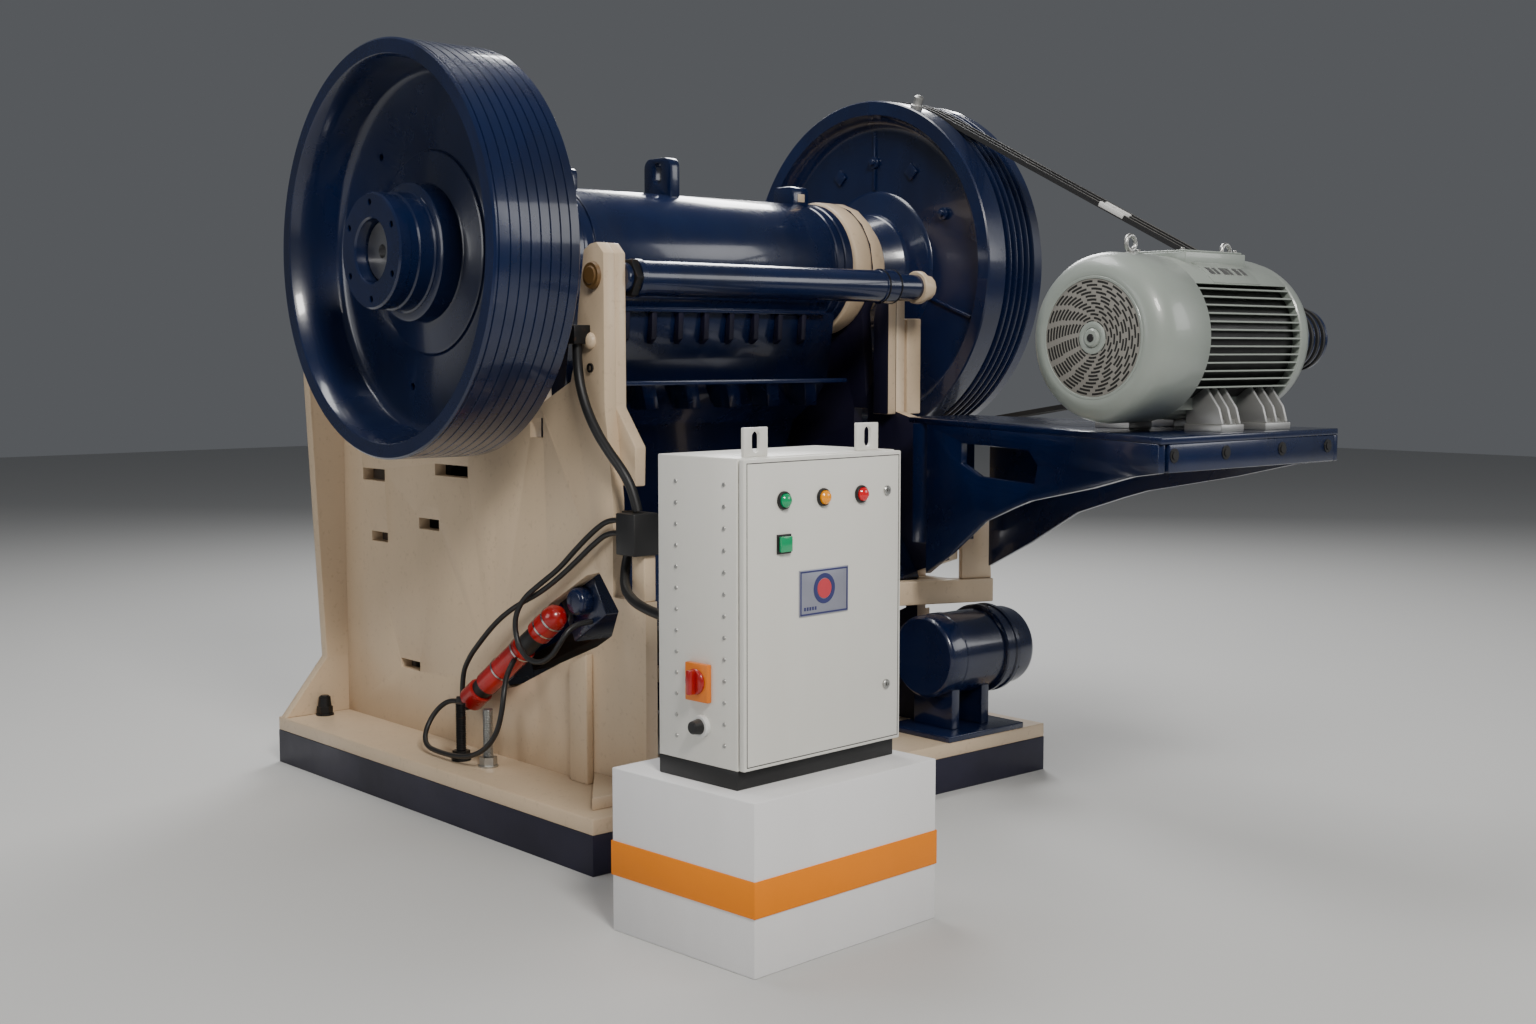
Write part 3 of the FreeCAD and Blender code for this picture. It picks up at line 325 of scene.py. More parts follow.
def rod(parts, a, b, r, steps=32, r2=None):
    """Solid round bar between two points."""
    along = Vector(b) - Vector(a)
    axis = along.normalized()
    side = Vector((1, 0, 0)).rotation_difference(axis) @ Vector((0, 1, 0))
    turn = Matrix((side.cross(axis), side, axis)).transposed().to_euler()
    bpy.ops.mesh.primitive_cone_add(
        vertices=steps, radius1=r * MM, radius2=(r if r2 is None else r2) * MM,
        depth=along.length * MM, location=vec(*(Vector(a) + along / 2)), rotation=turn,
        calc_uvs=False)
    parts.append(bpy.context.object)


def prism(parts, plane, outline, low, high):
    """Flat outline pushed from low to high along the axis that plane leaves out."""
    put = {"yz": lambda p, h: (h, p[0], p[1]), "xz": lambda p, h: (p[0], h, p[1]),
           "xy": lambda p, h: (p[0], p[1], h)}[plane]
    outline_of([vec(*put(p, low)) for p in outline])
    bpy.ops.mesh.edge_face_add()
    push = vec(*put((0, 0), high - low))
    bpy.ops.mesh.extrude_region_move(TRANSFORM_OT_translate={"value": push})
    close_shell(parts)


def block(parts, low, high, turn=0.0):
    """Square block between two corners, turned about its own middle along x."""
    low, high = Vector(low), Vector(high)
    bpy.ops.mesh.primitive_cube_add(size=1, location=vec(*((low + high) / 2)),
                                    rotation=(turn, 0, 0), scale=vec(*(high - low)),
                                    calc_uvs=False)
    parts.append(bpy.context.object)


def bolt(parts, p, axis, size):
    """Washer, hexagon head and its crown."""
    d = Vector(axis).normalized()
    at = Vector(p)
    rod(parts, at, at + d * size * 0.18, size * 1.12, 28)
    top = at + d * size * 0.85
    rod(parts, at + d * size * 0.18, top, size * 0.92, 6)
    rod(parts, top, top + d * size * 0.08, size * 0.7, 20, size * 0.55)


def joined(parts, name, where=None):
    """One object at the origin from loose parts, with its place in its mesh."""
    for part in parts:
        part.select_set(True)
    obj = parts[0]
    bpy.context.view_layer.objects.active = obj
    if len(parts) > 1:
        bpy.ops.object.join()
    bpy.ops.object.transform_apply(location=True, rotation=True, scale=True)
    if where is not None:
        obj.matrix_world = where
        bpy.ops.object.transform_apply(location=True, rotation=True, scale=True)
    bpy.ops.object.mode_set(mode="EDIT")
    bpy.ops.mesh.select_all(action="SELECT")
    bpy.ops.mesh.normals_make_consistent(inside=False)
    bpy.ops.object.mode_set(mode="OBJECT")
    obj.select_set(False)
    obj.name = obj.data.name = name
    return obj


def about(x, radius, degrees, middle=SHAFT):
    """Point at x on a circle round the shaft, or round another axis along x."""
    a = math.radians(degrees)
    return Vector((x, middle[1] + radius * math.cos(a), middle[2] + radius * math.sin(a)))


def upright_oval(across, up, radius, half, steps=24):
    """Outline of two half circles joined by straight sides."""
    oval = []
    for k in range(steps):
        a = 2 * math.pi * (k + 0.5) / steps
        lift = half if math.sin(a) > 0 else -half
        oval.append((across + radius * math.cos(a), up + lift + radius * math.sin(a)))
    return oval


def apply_modifiers(obj):
    bpy.context.view_layer.objects.active = obj
    obj.select_set(True)
    for m in list(obj.modifiers):
        bpy.ops.object.modifier_apply(modifier=m.name)
    obj.select_set(False)


def piece(name, parts, body, paint, bevel=0.0, angle=32, stands_for=(), segments=2,
          where=None, cuts=None):
    """Loose parts made one finished piece: cut, bevelled, smoothed, painted and mounted."""
    for part in bpy.context.selected_objects:
        part.select_set(False)
    obj = joined(parts, name, where)
    if cuts:
        tool = joined(cuts, name + "_tool", where)
        m = obj.modifiers.new("Cut", "BOOLEAN")
        m.object, m.solver = tool, "EXACT"
        apply_modifiers(obj)
        bpy.data.objects.remove(tool)
    if bevel:
        m = obj.modifiers.new("Edges", "BEVEL")
        m.width, m.segments, m.limit_method = bevel * MM, segments, "ANGLE"
        m.angle_limit = math.radians(38)
        m.miter_outer = "MITER_ARC"
        apply_modifiers(obj)
    return dress(obj, body, paint, angle, stands_for)


def dress(obj, body, paint, angle=32, stands_for=()):
    obj.data.materials.clear()
    obj.data.materials.append(mat(paint))
    bpy.context.view_layer.objects.active = obj
    obj.select_set(True)
    bpy.ops.object.shade_smooth_by_angle(angle=math.radians(angle))
    obj.select_set(False)
    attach(obj, body)
    if stands_for:
        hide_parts(*stands_for)
    return obj


def refine(name, paint, bevel=None, angle=32, body=FRAME):
    """A merged, edge rounded copy of a CAD node stands for it."""
    obj = bpy.data.objects.new(name + "_copy", NODES[name].data.copy())
    bpy.context.scene.collection.objects.link(obj)
    bpy.context.view_layer.objects.active = obj
    obj.select_set(True)
    bpy.ops.object.mode_set(mode="EDIT")
    bpy.ops.mesh.select_all(action="SELECT")
    bpy.ops.mesh.remove_doubles(threshold=0.00002)
    bpy.ops.mesh.dissolve_limited(angle_limit=math.radians(1.5))
    bpy.ops.object.mode_set(mode="OBJECT")
    width = look().edge * 1000 if bevel is None else bevel
    return piece(name + "_look", [obj], body, paint, width, angle, [name])


def paint_and_shade_inside(obj, paint):
    """Painted shade: the driven side's faces that look into the machine carry a second, dark paint,
    partly the stiffener's own navy and partly standing for the shade inside the frame.
    """
    obj.data.materials.append(mat(paint))
    for face in obj.data.polygons:
        at, way = face.center, face.normal
        inner = at.x > 0.6 and way.x < -0.9
        neck = at.x > 0.6 and way.y < -0.3 and -0.36 < at.y < 0 and 1.3 < at.z < 1.8
        if inner or neck:
            face.material_index = 1


def paint_node(name, paint):
    data = NODES[name].data
    data.materials.clear()
    data.materials.append(mat(paint))


# ------------------------------------------------------------------------ cords
CORDS = {
    "main_cable": (32, 0.601, [
        (-806, -470, 1590), (-806, -470, 1505), (-808, -508, 1405), (-810, -572, 1318),
        (-805, -636, 1252), (-793, -690, 1196), (-781, -724, 1136), (-775, -738, 1075)]),
    "feed_cable": (32, 0.932, [
        (-745, -660, 1030), (-745, -660, 960), (-772, -668, 892), (-804, -706, 836),
        (-824, -775, 803), (-836, -870, 786), (-850, -990, 776), (-870, -1130, 762),
        (-894, -1250, 740), (-914.3, -1324.4, 718), (-910.3, -1399, 718)]),
    "upper_hose": (18, 1.095, [
        (-800, -690, 1045), (-800, -628, 1045), (-807, -560, 1008), (-814, -465, 938),
        (-820, -380, 868), (-840, -300, 812), (-866, -238, 760), (-880, -207, 695),
        (-881, -217, 625), (-881, -262, 572), (-873, -330, 556), (-862, -392, 586),
        (-850, -422, 634), (-806, -430, 692), (-730.5, -430, 692)]),
    "lower_hose": (18, 1.113, [
        (-800, -690, 1005), (-800, -628, 1005), (-808, -560, 966), (-816, -460, 893),
        (-822, -370, 832), (-832, -280, 778), (-842, -190, 738), (-850, -105, 692),
        (-854, -30, 640), (-855, 45, 578), (-856, 110, 520), (-850, 168, 450),
        (-850, 168, 374)]),
    "ring_hose": (18, 1.036, [
        (-850, 182, 352), (-850, 240, 352), (-869, 288, 323), (-899, 306, 276),
        (-932, 288, 229), (-952, 240, 200), (-956, 160, 196), (-960, 55, 199),
        (-957, -45, 213), (-952, -130, 250), (-948, -195, 312), (-944, -222, 388),
        (-930, -215, 455), (-896, -184, 513), (-849, -155, 542)]),
}


def cord_piece(name):
    dia, length, route = CORDS[name]
    curve = bpy.data.curves.new(name + "_run", "CURVE")
    curve.dimensions = "3D"
    spline = curve.splines.new("NURBS")
    spline.points.add(len(route) - 1)
    for point, p in zip(spline.points, route):
        point.co = (*vec(*p), 1)
    spline.order_u = 3
    spline.use_endpoint_u = True
    curve.resolution_u = 10
    curve.bevel_depth = dia / 2 * MM
    curve.bevel_resolution = 5
    curve.use_fill_caps = True
    curve.materials.append(mat("Hose Rubber"))
    obj = bpy.data.objects.new(name + "_run", curve)
    bpy.context.scene.collection.objects.link(obj)
    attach(obj, FRAME)
    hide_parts(name)


def camera():
    data = bpy.data.cameras.new("View")
    data.lens, data.sensor_width = 41.84, 36
    data.clip_end = 100
    eye = bpy.data.objects.new("View", data)
    bpy.context.scene.collection.objects.link(eye)
    right, up, back = (Vector((0.7466, -0.6652, 0)), Vector((0.0599, 0.0673, 0.9959)),
                       Vector((-0.6625, -0.7436, 0.0901)))
    turn = Matrix((right, up, back)).transposed().to_4x4()
    eye.matrix_world = Matrix.Translation((-4.1267, -5.1049, 1.5698)) @ turn
    bpy.context.scene.camera = eye


# ------------------------------------------------------------------- flywheels
def wheel_section(s):
    """Half section of a flywheel rim and web; s is -1 for the plain wheel, 1 for the driven."""
    top = WHEEL_RAD
    cuts = []
    for m in LINES if s < 0 else ():
        cuts += [(m - 3.5, top), (m - 1.5, top - 4), (m + 1.5, top - 4), (m + 3.5, top)]
    for m in GROOVES if s > 0 else ():
        cuts += [(m - 15, top), (m - 13.5, top - 2), (m - 10, top - 22), (m + 10, top - 22),
                 (m + 13.5, top - 2), (m + 15, top)]
    outer = [(WHEEL_OUT - 6, top), (WHEEL_OUT, top - 6), (WHEEL_OUT, 616), (1231, 612),
             (1150, 603), (1072, 594), (1055, 586), (1047, 572), (WEB_OUT, 552), (WEB_OUT, 335),
             (1049, 330), (1057, 328), (1061, 322), (1063, 228), (1068, 222), (1136, 222),
             (1142, 214), (1143, 150)]
    inner = [(940, 150), (945, 222), (957, 228), (984, 300), (988, 312), (WEB_IN, 318),
             (WEB_IN, 548), (987, 575), (960, 600)]
    return [(WHEEL_IN, 610), (WHEEL_IN, top - 5), (WHEEL_IN + 5, top)] + cuts + outer + inner


def make_rim(side, s):
    parts, cuts = [], []
    lathe(parts, [(s * a, r) for a, r in wheel_section(s)], SHAFT, steps=192)
    for i in range(3):
        a = 120 * i + 47
        rod(cuts, about(s * 1020, 455, a), about(s * 1060, 455, a), 13)
    piece("flywheel_rim_" + side, parts, WHEELS, "Navy Enamel", 0, 40,
          ["flywheel_" + side], cuts=cuts)


def make_hub(side, s):
    hub = [(857, 101), (857, 180), (862, 185), (940, 216), (945, 222), (990, 222), (990, 150),
           (1140, 150), (1140, 196), (1146, 196), (1150, 190), (1196, 188), (1200, 182),
           (1226, 182), (1230, 186), (1262, 185), (1268, 179), (1268, 106), (1262, 101)]
    parts, cuts = [], []
    lathe(parts, [(s * a, r) for a, r in hub], SHAFT)
    for i in range(6):
        a = 60 * i + 30
        rod(cuts, about(s * 1228, 153, a), about(s * 1280, 153, a), 11, 24)
    piece("flywheel_hub_" + side, parts, WHEELS, "Navy Enamel", cuts=cuts)


def make_web_details(side, s):
    """Low ribs, pads and bolts on the inner face of the web."""
    parts = []
    for k, a in enumerate((63, 90, 118, 151, 243, 331)):
        foot = about(s * (WEB_IN - 2), 430, a)
        if k % 2:
            rod(parts, foot, foot - Vector((s * 12, 0, 0)), 24, 40)
            rod(parts, foot, foot - Vector((s * 26, 0, 0)), 13, 6)
        else:
            rod(parts, foot, foot - Vector((s * 8, 0, 0)), 34, 4)
    for a in (12, 90, 200, 290):
        middle = about(s * (WEB_IN - 3.5), 437, a)
        half = Vector((5.5, 115, 5))
        block(parts, middle - half, middle + half, math.radians(a))
    piece("web_ribs_" + side, parts, WHEELS, "Navy Enamel", 1.5)


def make_shaft():
    parts, cuts = [], []
    lathe(parts, [(-1225, 0), (-1225, 92), (-1217, 100), (1217, 100), (1225, 92), (1225, 0)],
          SHAFT)
    for s in (-1, 1):
        rod(cuts, (s * 1190, 0, SHAFT_Z), (s * 1240, 0, SHAFT_Z), 14, r2=26)
    piece("shaft_look", parts, WHEELS, "Turned Steel",
          stands_for=["eccentric_shaft"], cuts=cuts)


def make_wheel_eye():
    """Round-headed stub screwed into the driven wheel's rim."""
    profile = [(0, 0), (0, 24), (11, 24), (14, 19), (20, 17), (34, 19), (44, 19), (51, 12),
               (53, 0)]
    lean = 112
    parts = []
    lathe(parts, profile, about(967, WHEEL_RAD - 1, lean), about(0, 1, lean, (0, 0, 0)), 48)
    piece("wheel_eye_look", parts, WHEELS, "Zinc", 0, 40, ["wheel_eye"])


def make_flywheels():
    for side, s in (("left", -1), ("right", 1)):
        make_rim(side, s)
        make_hub(side, s)
        make_web_details(side, s)
    make_shaft()
    make_wheel_eye()


def eye_bolt(parts, p, r):
    """Forged lifting eye standing on a collar."""
    x, y, z = p
    rod(parts, p, (x, y, z + r * 0.35), r * 0.8)
    rod(parts, (x, y, z + r * 0.3), (x, y, z + r * 0.9), r * 0.35)
    bpy.ops.mesh.primitive_torus_add(
        major_radius=r * MM, minor_radius=r * 0.32 * MM, major_segments=32, minor_segments=12,
        location=vec(x, y, z + r * 1.5), rotation=(math.pi / 2, 0, 0), generate_uvs=False)
    parts.append(bpy.context.object)


# ---------------------------------------------------------------------- barrel
def make_lugs():
    """Three lifting lugs on the barrel: a tall slotted one between two blocks."""
    parts, cuts = [], []
    crown = [(34 * math.cos(a), 34 * math.sin(a)) for a in
             [math.radians(15 * k) for k in range(12, -1, -1)]]
    round_top = [(y - 41 if y < 0 else y + 41, z + 2221) for y, z in crown]
    prism(parts, "yz", [(-75, 2105)] + round_top + [(75, 2105)], -112, -68)
    prism(cuts, "yz", upright_oval(0, 2200, 24, 14), -130, -50)
    piece("lug_middle", parts, JAW, "Navy Enamel", 3, cuts=cuts)
    parts, marks = [], []
    low_lug = [(-55, 2105), (-55, 2170), (-49, 2184), (-35, 2190)]
    for x in (-580, 500):
        prism(parts, "yz", low_lug + [(-y, z) for y, z in low_lug[::-1]], x, x + 80)
        block(marks, (x + 24, -57, 2132), (x + 58, -54, 2162))
    piece("lugs_end", parts, JAW, "Navy Enamel", 3, stands_for=["lifting_lugs"])
    piece("lug_marks", marks, JAW, "Cream Enamel", 1)


def make_barrel():
    refine("pitman", "Navy Enamel", body=JAW)
    make_lugs()
    parts = []
    for a, b, r in ((-636, -606, 243), (-606, -588, 238), (560, 596, 241), (596, 636, 246)):
        lathe(parts, [(a, 225), (a, r - 4), (a + 4, r), (b - 4, r), (b, r - 4), (b, 225)], SHAFT)
    piece("barrel_bands", parts, JAW, "Navy Enamel", angle=40)
    # raised cover panel with its edge bolts
    cover = [about(0, 243, a)[1:] for a in range(62, 216, 3)]
    cover += [about(0, 230, a)[1:] for a in range(215, 61, -3)]
    parts = []
    prism(parts, "yz", cover, -560, 535)
    piece("barrel_cover", parts, JAW, "Navy Enamel", 4)
    parts = []
    for x in (-530, 505):
        for a in (70, 206):
            out = about(0, 1, a, (0, 0, 0))
            bolt(parts, about(x, 241, a), out, 13)
            bolt(parts, about(x * 0.93, 241, a), out, 7)
    piece("cover_bolts", parts, JAW, "Navy Enamel")
    make_jaw_back()


def make_jaw_back():
    """Edge lip, hanging ribs and the stiffening shelf on the back of the swing jaw."""
    parts = []
    prism(parts, "yz", [(-176, 1716), (-196, 1716), (-196, 1704), (-172, 1700)], -570, 540)
    piece("back_lip", parts, JAW, "Navy Enamel", 2)
    parts = []
    for x in range(-520, 541, 118):
        prism(parts, "yz", [(-168, 1704), (-190, 1704), (-184, 1610), (-158, 1592)], x, x + 22)
    # painted shade: the hanging ribs take the darker skid enamel for the shade under the barrel
    piece("back_ribs", parts, JAW, "Skid Enamel", 2)
    parts = []
    prism(parts, "yz", [(-120, 1466), (-250, 1466), (-250, 1450), (-118, 1450)], -600, 600)
    piece("back_shelf", parts, JAW, "Navy Enamel", 3)
    parts = []
    for x in range(-560, 520, 190):
        outline_of([vec(*p) for p in ((x, -112, 1450), (x, -240, 1450), (x + 58, -240, 1450),
                                      (x + 58, -112, 1450))])
        bpy.ops.mesh.edge_face_add()
        bpy.ops.mesh.extrude_region_move(TRANSFORM_OT_translate={"value": vec(90, 71, -88)})
        bpy.ops.transform.resize(value=(1, 90 / 128, 1), center_override=vec(x, -105, 1362))
        close_shell(parts)
    piece("shelf_ribs", parts, JAW, "Navy Enamel", 3)


def make_frame_plates():
    for name in ("side_plate_right", "post_stiffeners"):
        # the inner faces get the dark skid enamel, partly as painted shade inside the frame
        paint_and_shade_inside(refine(name, "Cream Enamel"), "Skid Enamel")
    for name in ("base_flange", "side_plate_left", "post_rib", "side_ribs", "front_wall",
                 "table_shelf", "table_gusset", "rear_foot", "junction_post"):
        refine(name, "Cream Enamel")
    refine("skid_frame", "Skid Enamel", 6)
    for name in ("cheek_plates", "fixed_jaw_plate", "toggle_plate"):
        refine(name, "Manganese", 5)
    refine("swing_jaw_plate", "Manganese", 5, body=JAW)
    refine("toggle_beam", "Navy Enamel", 6)
    for side, s in (("left", -1), ("right", 1)):
        ring = [(640, 112), (640, 240), (648, 252), (664, 255), (712, 255), (729, 248),
                (729, 214), (733, 218), (772, 214), (774, 211), (777, 211), (779, 214),
                (832, 210), (842, 206), (845, 200), (845, 112)]
        parts = []
        lathe(parts, [(s * a, r) for a, r in ring], SHAFT)
        piece("bearing_" + side, parts, FRAME, "Cream Enamel", 1.5, 40,
              ["bearing_housings"] if s > 0 else ())


def make_tube():
    parts = []
    lathe(parts, [(-688, 0), (-688, 44), (-684, 48), (-640, 48), (-640, 62), (-618, 62), (-618, 57),
               (465, 57), (467, 61), (540, 61), (542, 57), (542, 46), (662, 46), (662, 0)],
          TUBE)
    piece("tube_look", parts, FRAME, "Navy Enamel", stands_for=["tie_tube"])
    parts = []
    lathe(parts, [(662, 0), (662, 56), (666, 60), (684, 60), (688, 56), (688, 0)], TUBE)
    piece("tube_ring", parts, FRAME, "Cream Enamel")
    parts = []
    lathe(parts, [(-668, 40), (-668, 66), (-640, 66), (-640, 40)], TUBE, steps=6)
    rod(parts, (471, *TUBE[1:]), (478, *TUBE[1:]), 63, 64)
    rod(parts, (530, *TUBE[1:]), (537, *TUBE[1:]), 63, 64)
    piece("tube_nuts", parts, FRAME, "Oxide Black", 2)
    parts = []
    rod(parts, (-779, -520, 1805), (-790, -520, 1805), 44, 64, 40)
    rod(parts, (-790, -520, 1805), (-794, -520, 1805), 30, 64, 26)
    piece("post_plug", parts, FRAME, "Brown Plug")
    parts = []
    lathe(parts, [(0, 0), (0, 27), (6, 26), (14, 20), (19, 10), (20, 0)], (-775, -500, 1600),
          (-1, 0, 0), 40)
    piece("post_knob", parts, FRAME, "Cream Enamel")
    parts = []
    lathe(parts, [(0, 9), (0, 15), (6, 15), (6, 9)], (-775, -500, 1515), (-1, 0, 0), 32)
    piece("post_ring", parts, FRAME, "Oxide Black")


# ----------------------------------------------------------------- motor table
def make_table():
    for name in ("motor_table", "table_web_left", "table_web_right", "table_rear_edge",
                 "table_upright"):
        refine(name, "Navy Enamel", 3)
    parts = []
    for x in (20, 270, 560, 812):
        rod(parts, (x, -2150, 1278), (x, -2153, 1278), 20, 24)
        rod(parts, (x, -2153, 1278), (x, -2156, 1278), 12, 20)
    piece("edge_plugs", parts, FRAME, "Satin Black")


# ----------------------------------------------------------------------- motor
def on_drum(parts, x0, x1, r0, r1, middle, half):
    """Curved pad on the motor's round frame; angles in degrees about the motor axis."""
    edge = [middle + half * k / 4 for k in range(-4, 5)]
    outline = [about(0, r1, a, MOTOR)[1:] for a in edge]
    outline += [about(0, r0, a, MOTOR)[1:] for a in edge[::-1]]
    prism(parts, "yz", outline, x0, x1)


def make_fan_cover():
    parts = []
    lathe(parts, [(34, 0), (34, 176), (31, 178), (30, 184), (32, 196), (40, 214), (56, 233),
                  (78, 245), (104, 250), (258, 250), (262, 247), (263, 236), (255, 236),
                  (110, 238), (82, 232), (62, 220), (50, 205), (46, 190), (46, 0)], MOTOR)
    piece("fan_cover", parts, FRAME, "Sage Enamel", angle=40,
          stands_for=["motor_fan_cover"])
    parts = []
    lathe(parts, [(33, 0), (31.5, 60), (31, 172), (33, 176), (38, 176), (38, 0)], MOTOR)
    piece("fan_grille", parts, FRAME, "Punched Sheet")
    parts = []
    lathe(parts, [(33, 28), (29, 30), (27, 38), (29, 46), (33, 48)], MOTOR)
    lathe(parts, [(33, 0), (22, 12), (22, 22), (26, 27), (33, 29)], MOTOR)
    lathe(parts, [(33, 170), (29.5, 172), (29.5, 178), (33, 181)], MOTOR)
    piece("grille_cap", parts, FRAME, "Sage Enamel")
    parts = []
    rod(parts, (23, *MOTOR[1:]), (20, *MOTOR[1:]), 13, 32, 11)
    piece("grille_screw", parts, FRAME, "Satin Black")


def make_motor_frame():
    """Round frame with its end shield, a black sleeve painted as the shade between the fins, fins
    and smooth shoulder.
    """
    _, y, z = MOTOR
    parts = []
    lathe(parts, [(FINS_FROM - 5, 0), (FINS_FROM - 5, 212), (740, 212), (740, 240), (744, 244),
                  (775, 240), (800, 232), (824, 205), (835, 172), (835, 38), (775, 38),
                  (775, 0)], MOTOR)
    piece("motor_core", parts, FRAME, "Sage Enamel", angle=40,
          stands_for=["motor_frame"])
    parts = []
    # painted shade: a black sleeve under the fins stands for the shade deep in the gaps between
    # them
    lathe(parts, [(FINS_FROM - 5, 206), (FINS_FROM - 5, 215), (740, 215), (740, 206)], MOTOR)
    piece("fin_roots", parts, FRAME, "Satin Black")
    parts = []
    for i in range(-6, 7):
        off = i * FIN_PITCH
        reach, root = math.sqrt(244 ** 2 - off ** 2), math.sqrt(208 ** 2 - off ** 2)
        for s in (-1, 1):
            low, high = sorted((s * root, s * reach))
            block(parts, (FINS_FROM, low + y, z + off - FIN_HALF),
                  (FINS_TO, high + y, z + off + FIN_HALF))
    for i in range(-5, 6):
        off = i * FIN_PITCH
        reach, root = math.sqrt(244 ** 2 - off ** 2), math.sqrt(208 ** 2 - off ** 2)
        block(parts, (FINS_FROM, y + off - FIN_HALF, z - reach),
              (FINS_TO, y + off + FIN_HALF, z - root))
    piece("motor_fins", parts, FRAME, "Sage Enamel", 1, segments=1)
    parts = []
    prism(parts, "yz", [about(0, 246, a, MOTOR)[1:] for a in range(40, 141, 5)], 264, 739)
    piece("motor_shoulder", parts, FRAME, "Sage Enamel", 2, 40)


def make_terminal_cover():
    _, y, z = MOTOR
    parts = []
    block(parts, (330, y - 105, z + 215), (640, y + 105, z + 256))
    block(parts, (338, y - 98, z + 256), (632, y + 98, z + 262))
    piece("terminal_cover", parts, FRAME, "Sage Enamel", 7, segments=3,
          stands_for=["motor_terminal_box"])
    parts = []
    on_drum(parts, 360, 600, 240, 249, 127, 12)
    piece("name_pad", parts, FRAME, "Sage Enamel", 1)
    parts = []
    for i, wide in enumerate((26, 18, 30, 16, 24, 20)):
        start = 378 + i * 34
        on_drum(parts, start, start + wide, 248, 250, 127, 4)
    for x in (350, 620):
        for s in (-1, 1):
            bolt(parts, (x, y + s * 80, z + 262), (0, 0, 1), 8)
    piece("cover_marks", parts, FRAME, "Zinc", 0.5)
    parts = []
    eye_bolt(parts, (205, y, z + 246), 22)
    eye_bolt(parts, (690, y, z + 238), 22)
    piece("motor_eyes", parts, FRAME, "Zinc")


def make_motor_feet():
    """Ribbed cast feet and the bolts that hold them to the table."""
    y = MOTOR[1]
    top = TABLE_TOP + 22
    feet, caps = [], []
    for a, b in ((355, 455), (585, 705)):
        for s in (-1, 1):
            low, high = sorted((y + s * 100, y + s * 232))
            block(feet, (a - 8, low, TABLE_TOP), (b + 8, high, top))
            rib = [(y + s * 100, top), (y + s * 228, top), (y + s * 214, top + 48),
                   (y + s * 168, top + 110), (y + s * 100, top + 68)]
            for x in (a, (a + b) / 2 - 6, b - 12):
                prism(feet, "yz", rib, x, x + 12)
            for shift in (-24, 26):
                bolt(caps, ((a + b) / 2 + shift, y + s * 205, top), (0, 0, 1), 15)
    piece("feet_look", feet, FRAME, "Cast Alloy", 3, stands_for=["motor_feet"])
    piece("feet_bolts", caps, FRAME, "Zinc")


def make_pulley():
    profile = [(790, 0), (790, 32), (1005, 32), (1005, 94), (1010, 100)]
    for m in BELTS:
        profile += [(m - 14, 100), (m - 10, 79), (m + 10, 79), (m + 14, 100)]
    profile += [(1130, 100), (1135, 95), (1135, 70), (1122, 66), (1122, 34), (1126, 30),
                (1126, 0)]
    parts = []
    lathe(parts, profile, MOTOR)
    piece("pulley_look", parts, ROTOR, "Navy Enamel", angle=30,
          stands_for=["motor_pulley"])


def make_motor():
    make_fan_cover()
    make_motor_frame()
    make_terminal_cover()
    make_motor_feet()
    make_pulley()


def make_belts():
    paint_node("drive_belts", "Belt Rubber")
    parts = []
    rise = MOTOR[2] - SHAFT_Z
    gap = math.hypot(MOTOR[1], rise)
    slope = math.atan2(rise, MOTOR[1])
    lean = math.acos((BELT_OVER_WHEEL - BELT_OVER_PULLEY) / gap)
    out = about(0, 1, math.degrees(slope - lean), (0, 0, 0))
    start = Vector(SHAFT) + out * BELT_OVER_WHEEL
    end = Vector(MOTOR) + out * BELT_OVER_PULLEY
    way = (end - start).normalized()
    at = start + way * 945 - out * 4.5
    for x in BELTS[:2]:
        block(parts, (x - 7, at.y - 60, at.z - 9.5), (x + 7, at.y + 60, at.z + 9.5),
              math.atan2(way.z, way.y))
    piece("belt_tag", parts, FRAME, "Knob White", 3)


# ------------------------------------------------------------------- pump drive
def make_pump():
    refine("pump_base", "Navy Enamel", 3)
    refine("pump_feet", "Navy Enamel", 3)
    prof = [(560, 0), (560, 138), (566, 146), (575, 150), (640, 150), (643, 153), (672, 153),
            (675, 150), (846, 150), (848, 160), (853, 165), (868, 165), (872, 160), (896, 160),
            (900, 165), (916, 165), (920, 160), (921, 148), (998, 146), (1012, 142), (1030, 126),
            (1038, 112), (1040, 100), (1040, 44), (1032, 40), (1032, 0)]
    parts = []
    lathe(parts, prof, PUMP)
    piece("pump_look", parts, FRAME, "Navy Enamel", stands_for=["pump_motor"])
    parts = []
    for i in range(8):
        bolt(parts, about(921, 155, 45 * i + 22, PUMP), (1, 0, 0), 7)
    piece("pump_bolts", parts, FRAME, "Oxide Black")


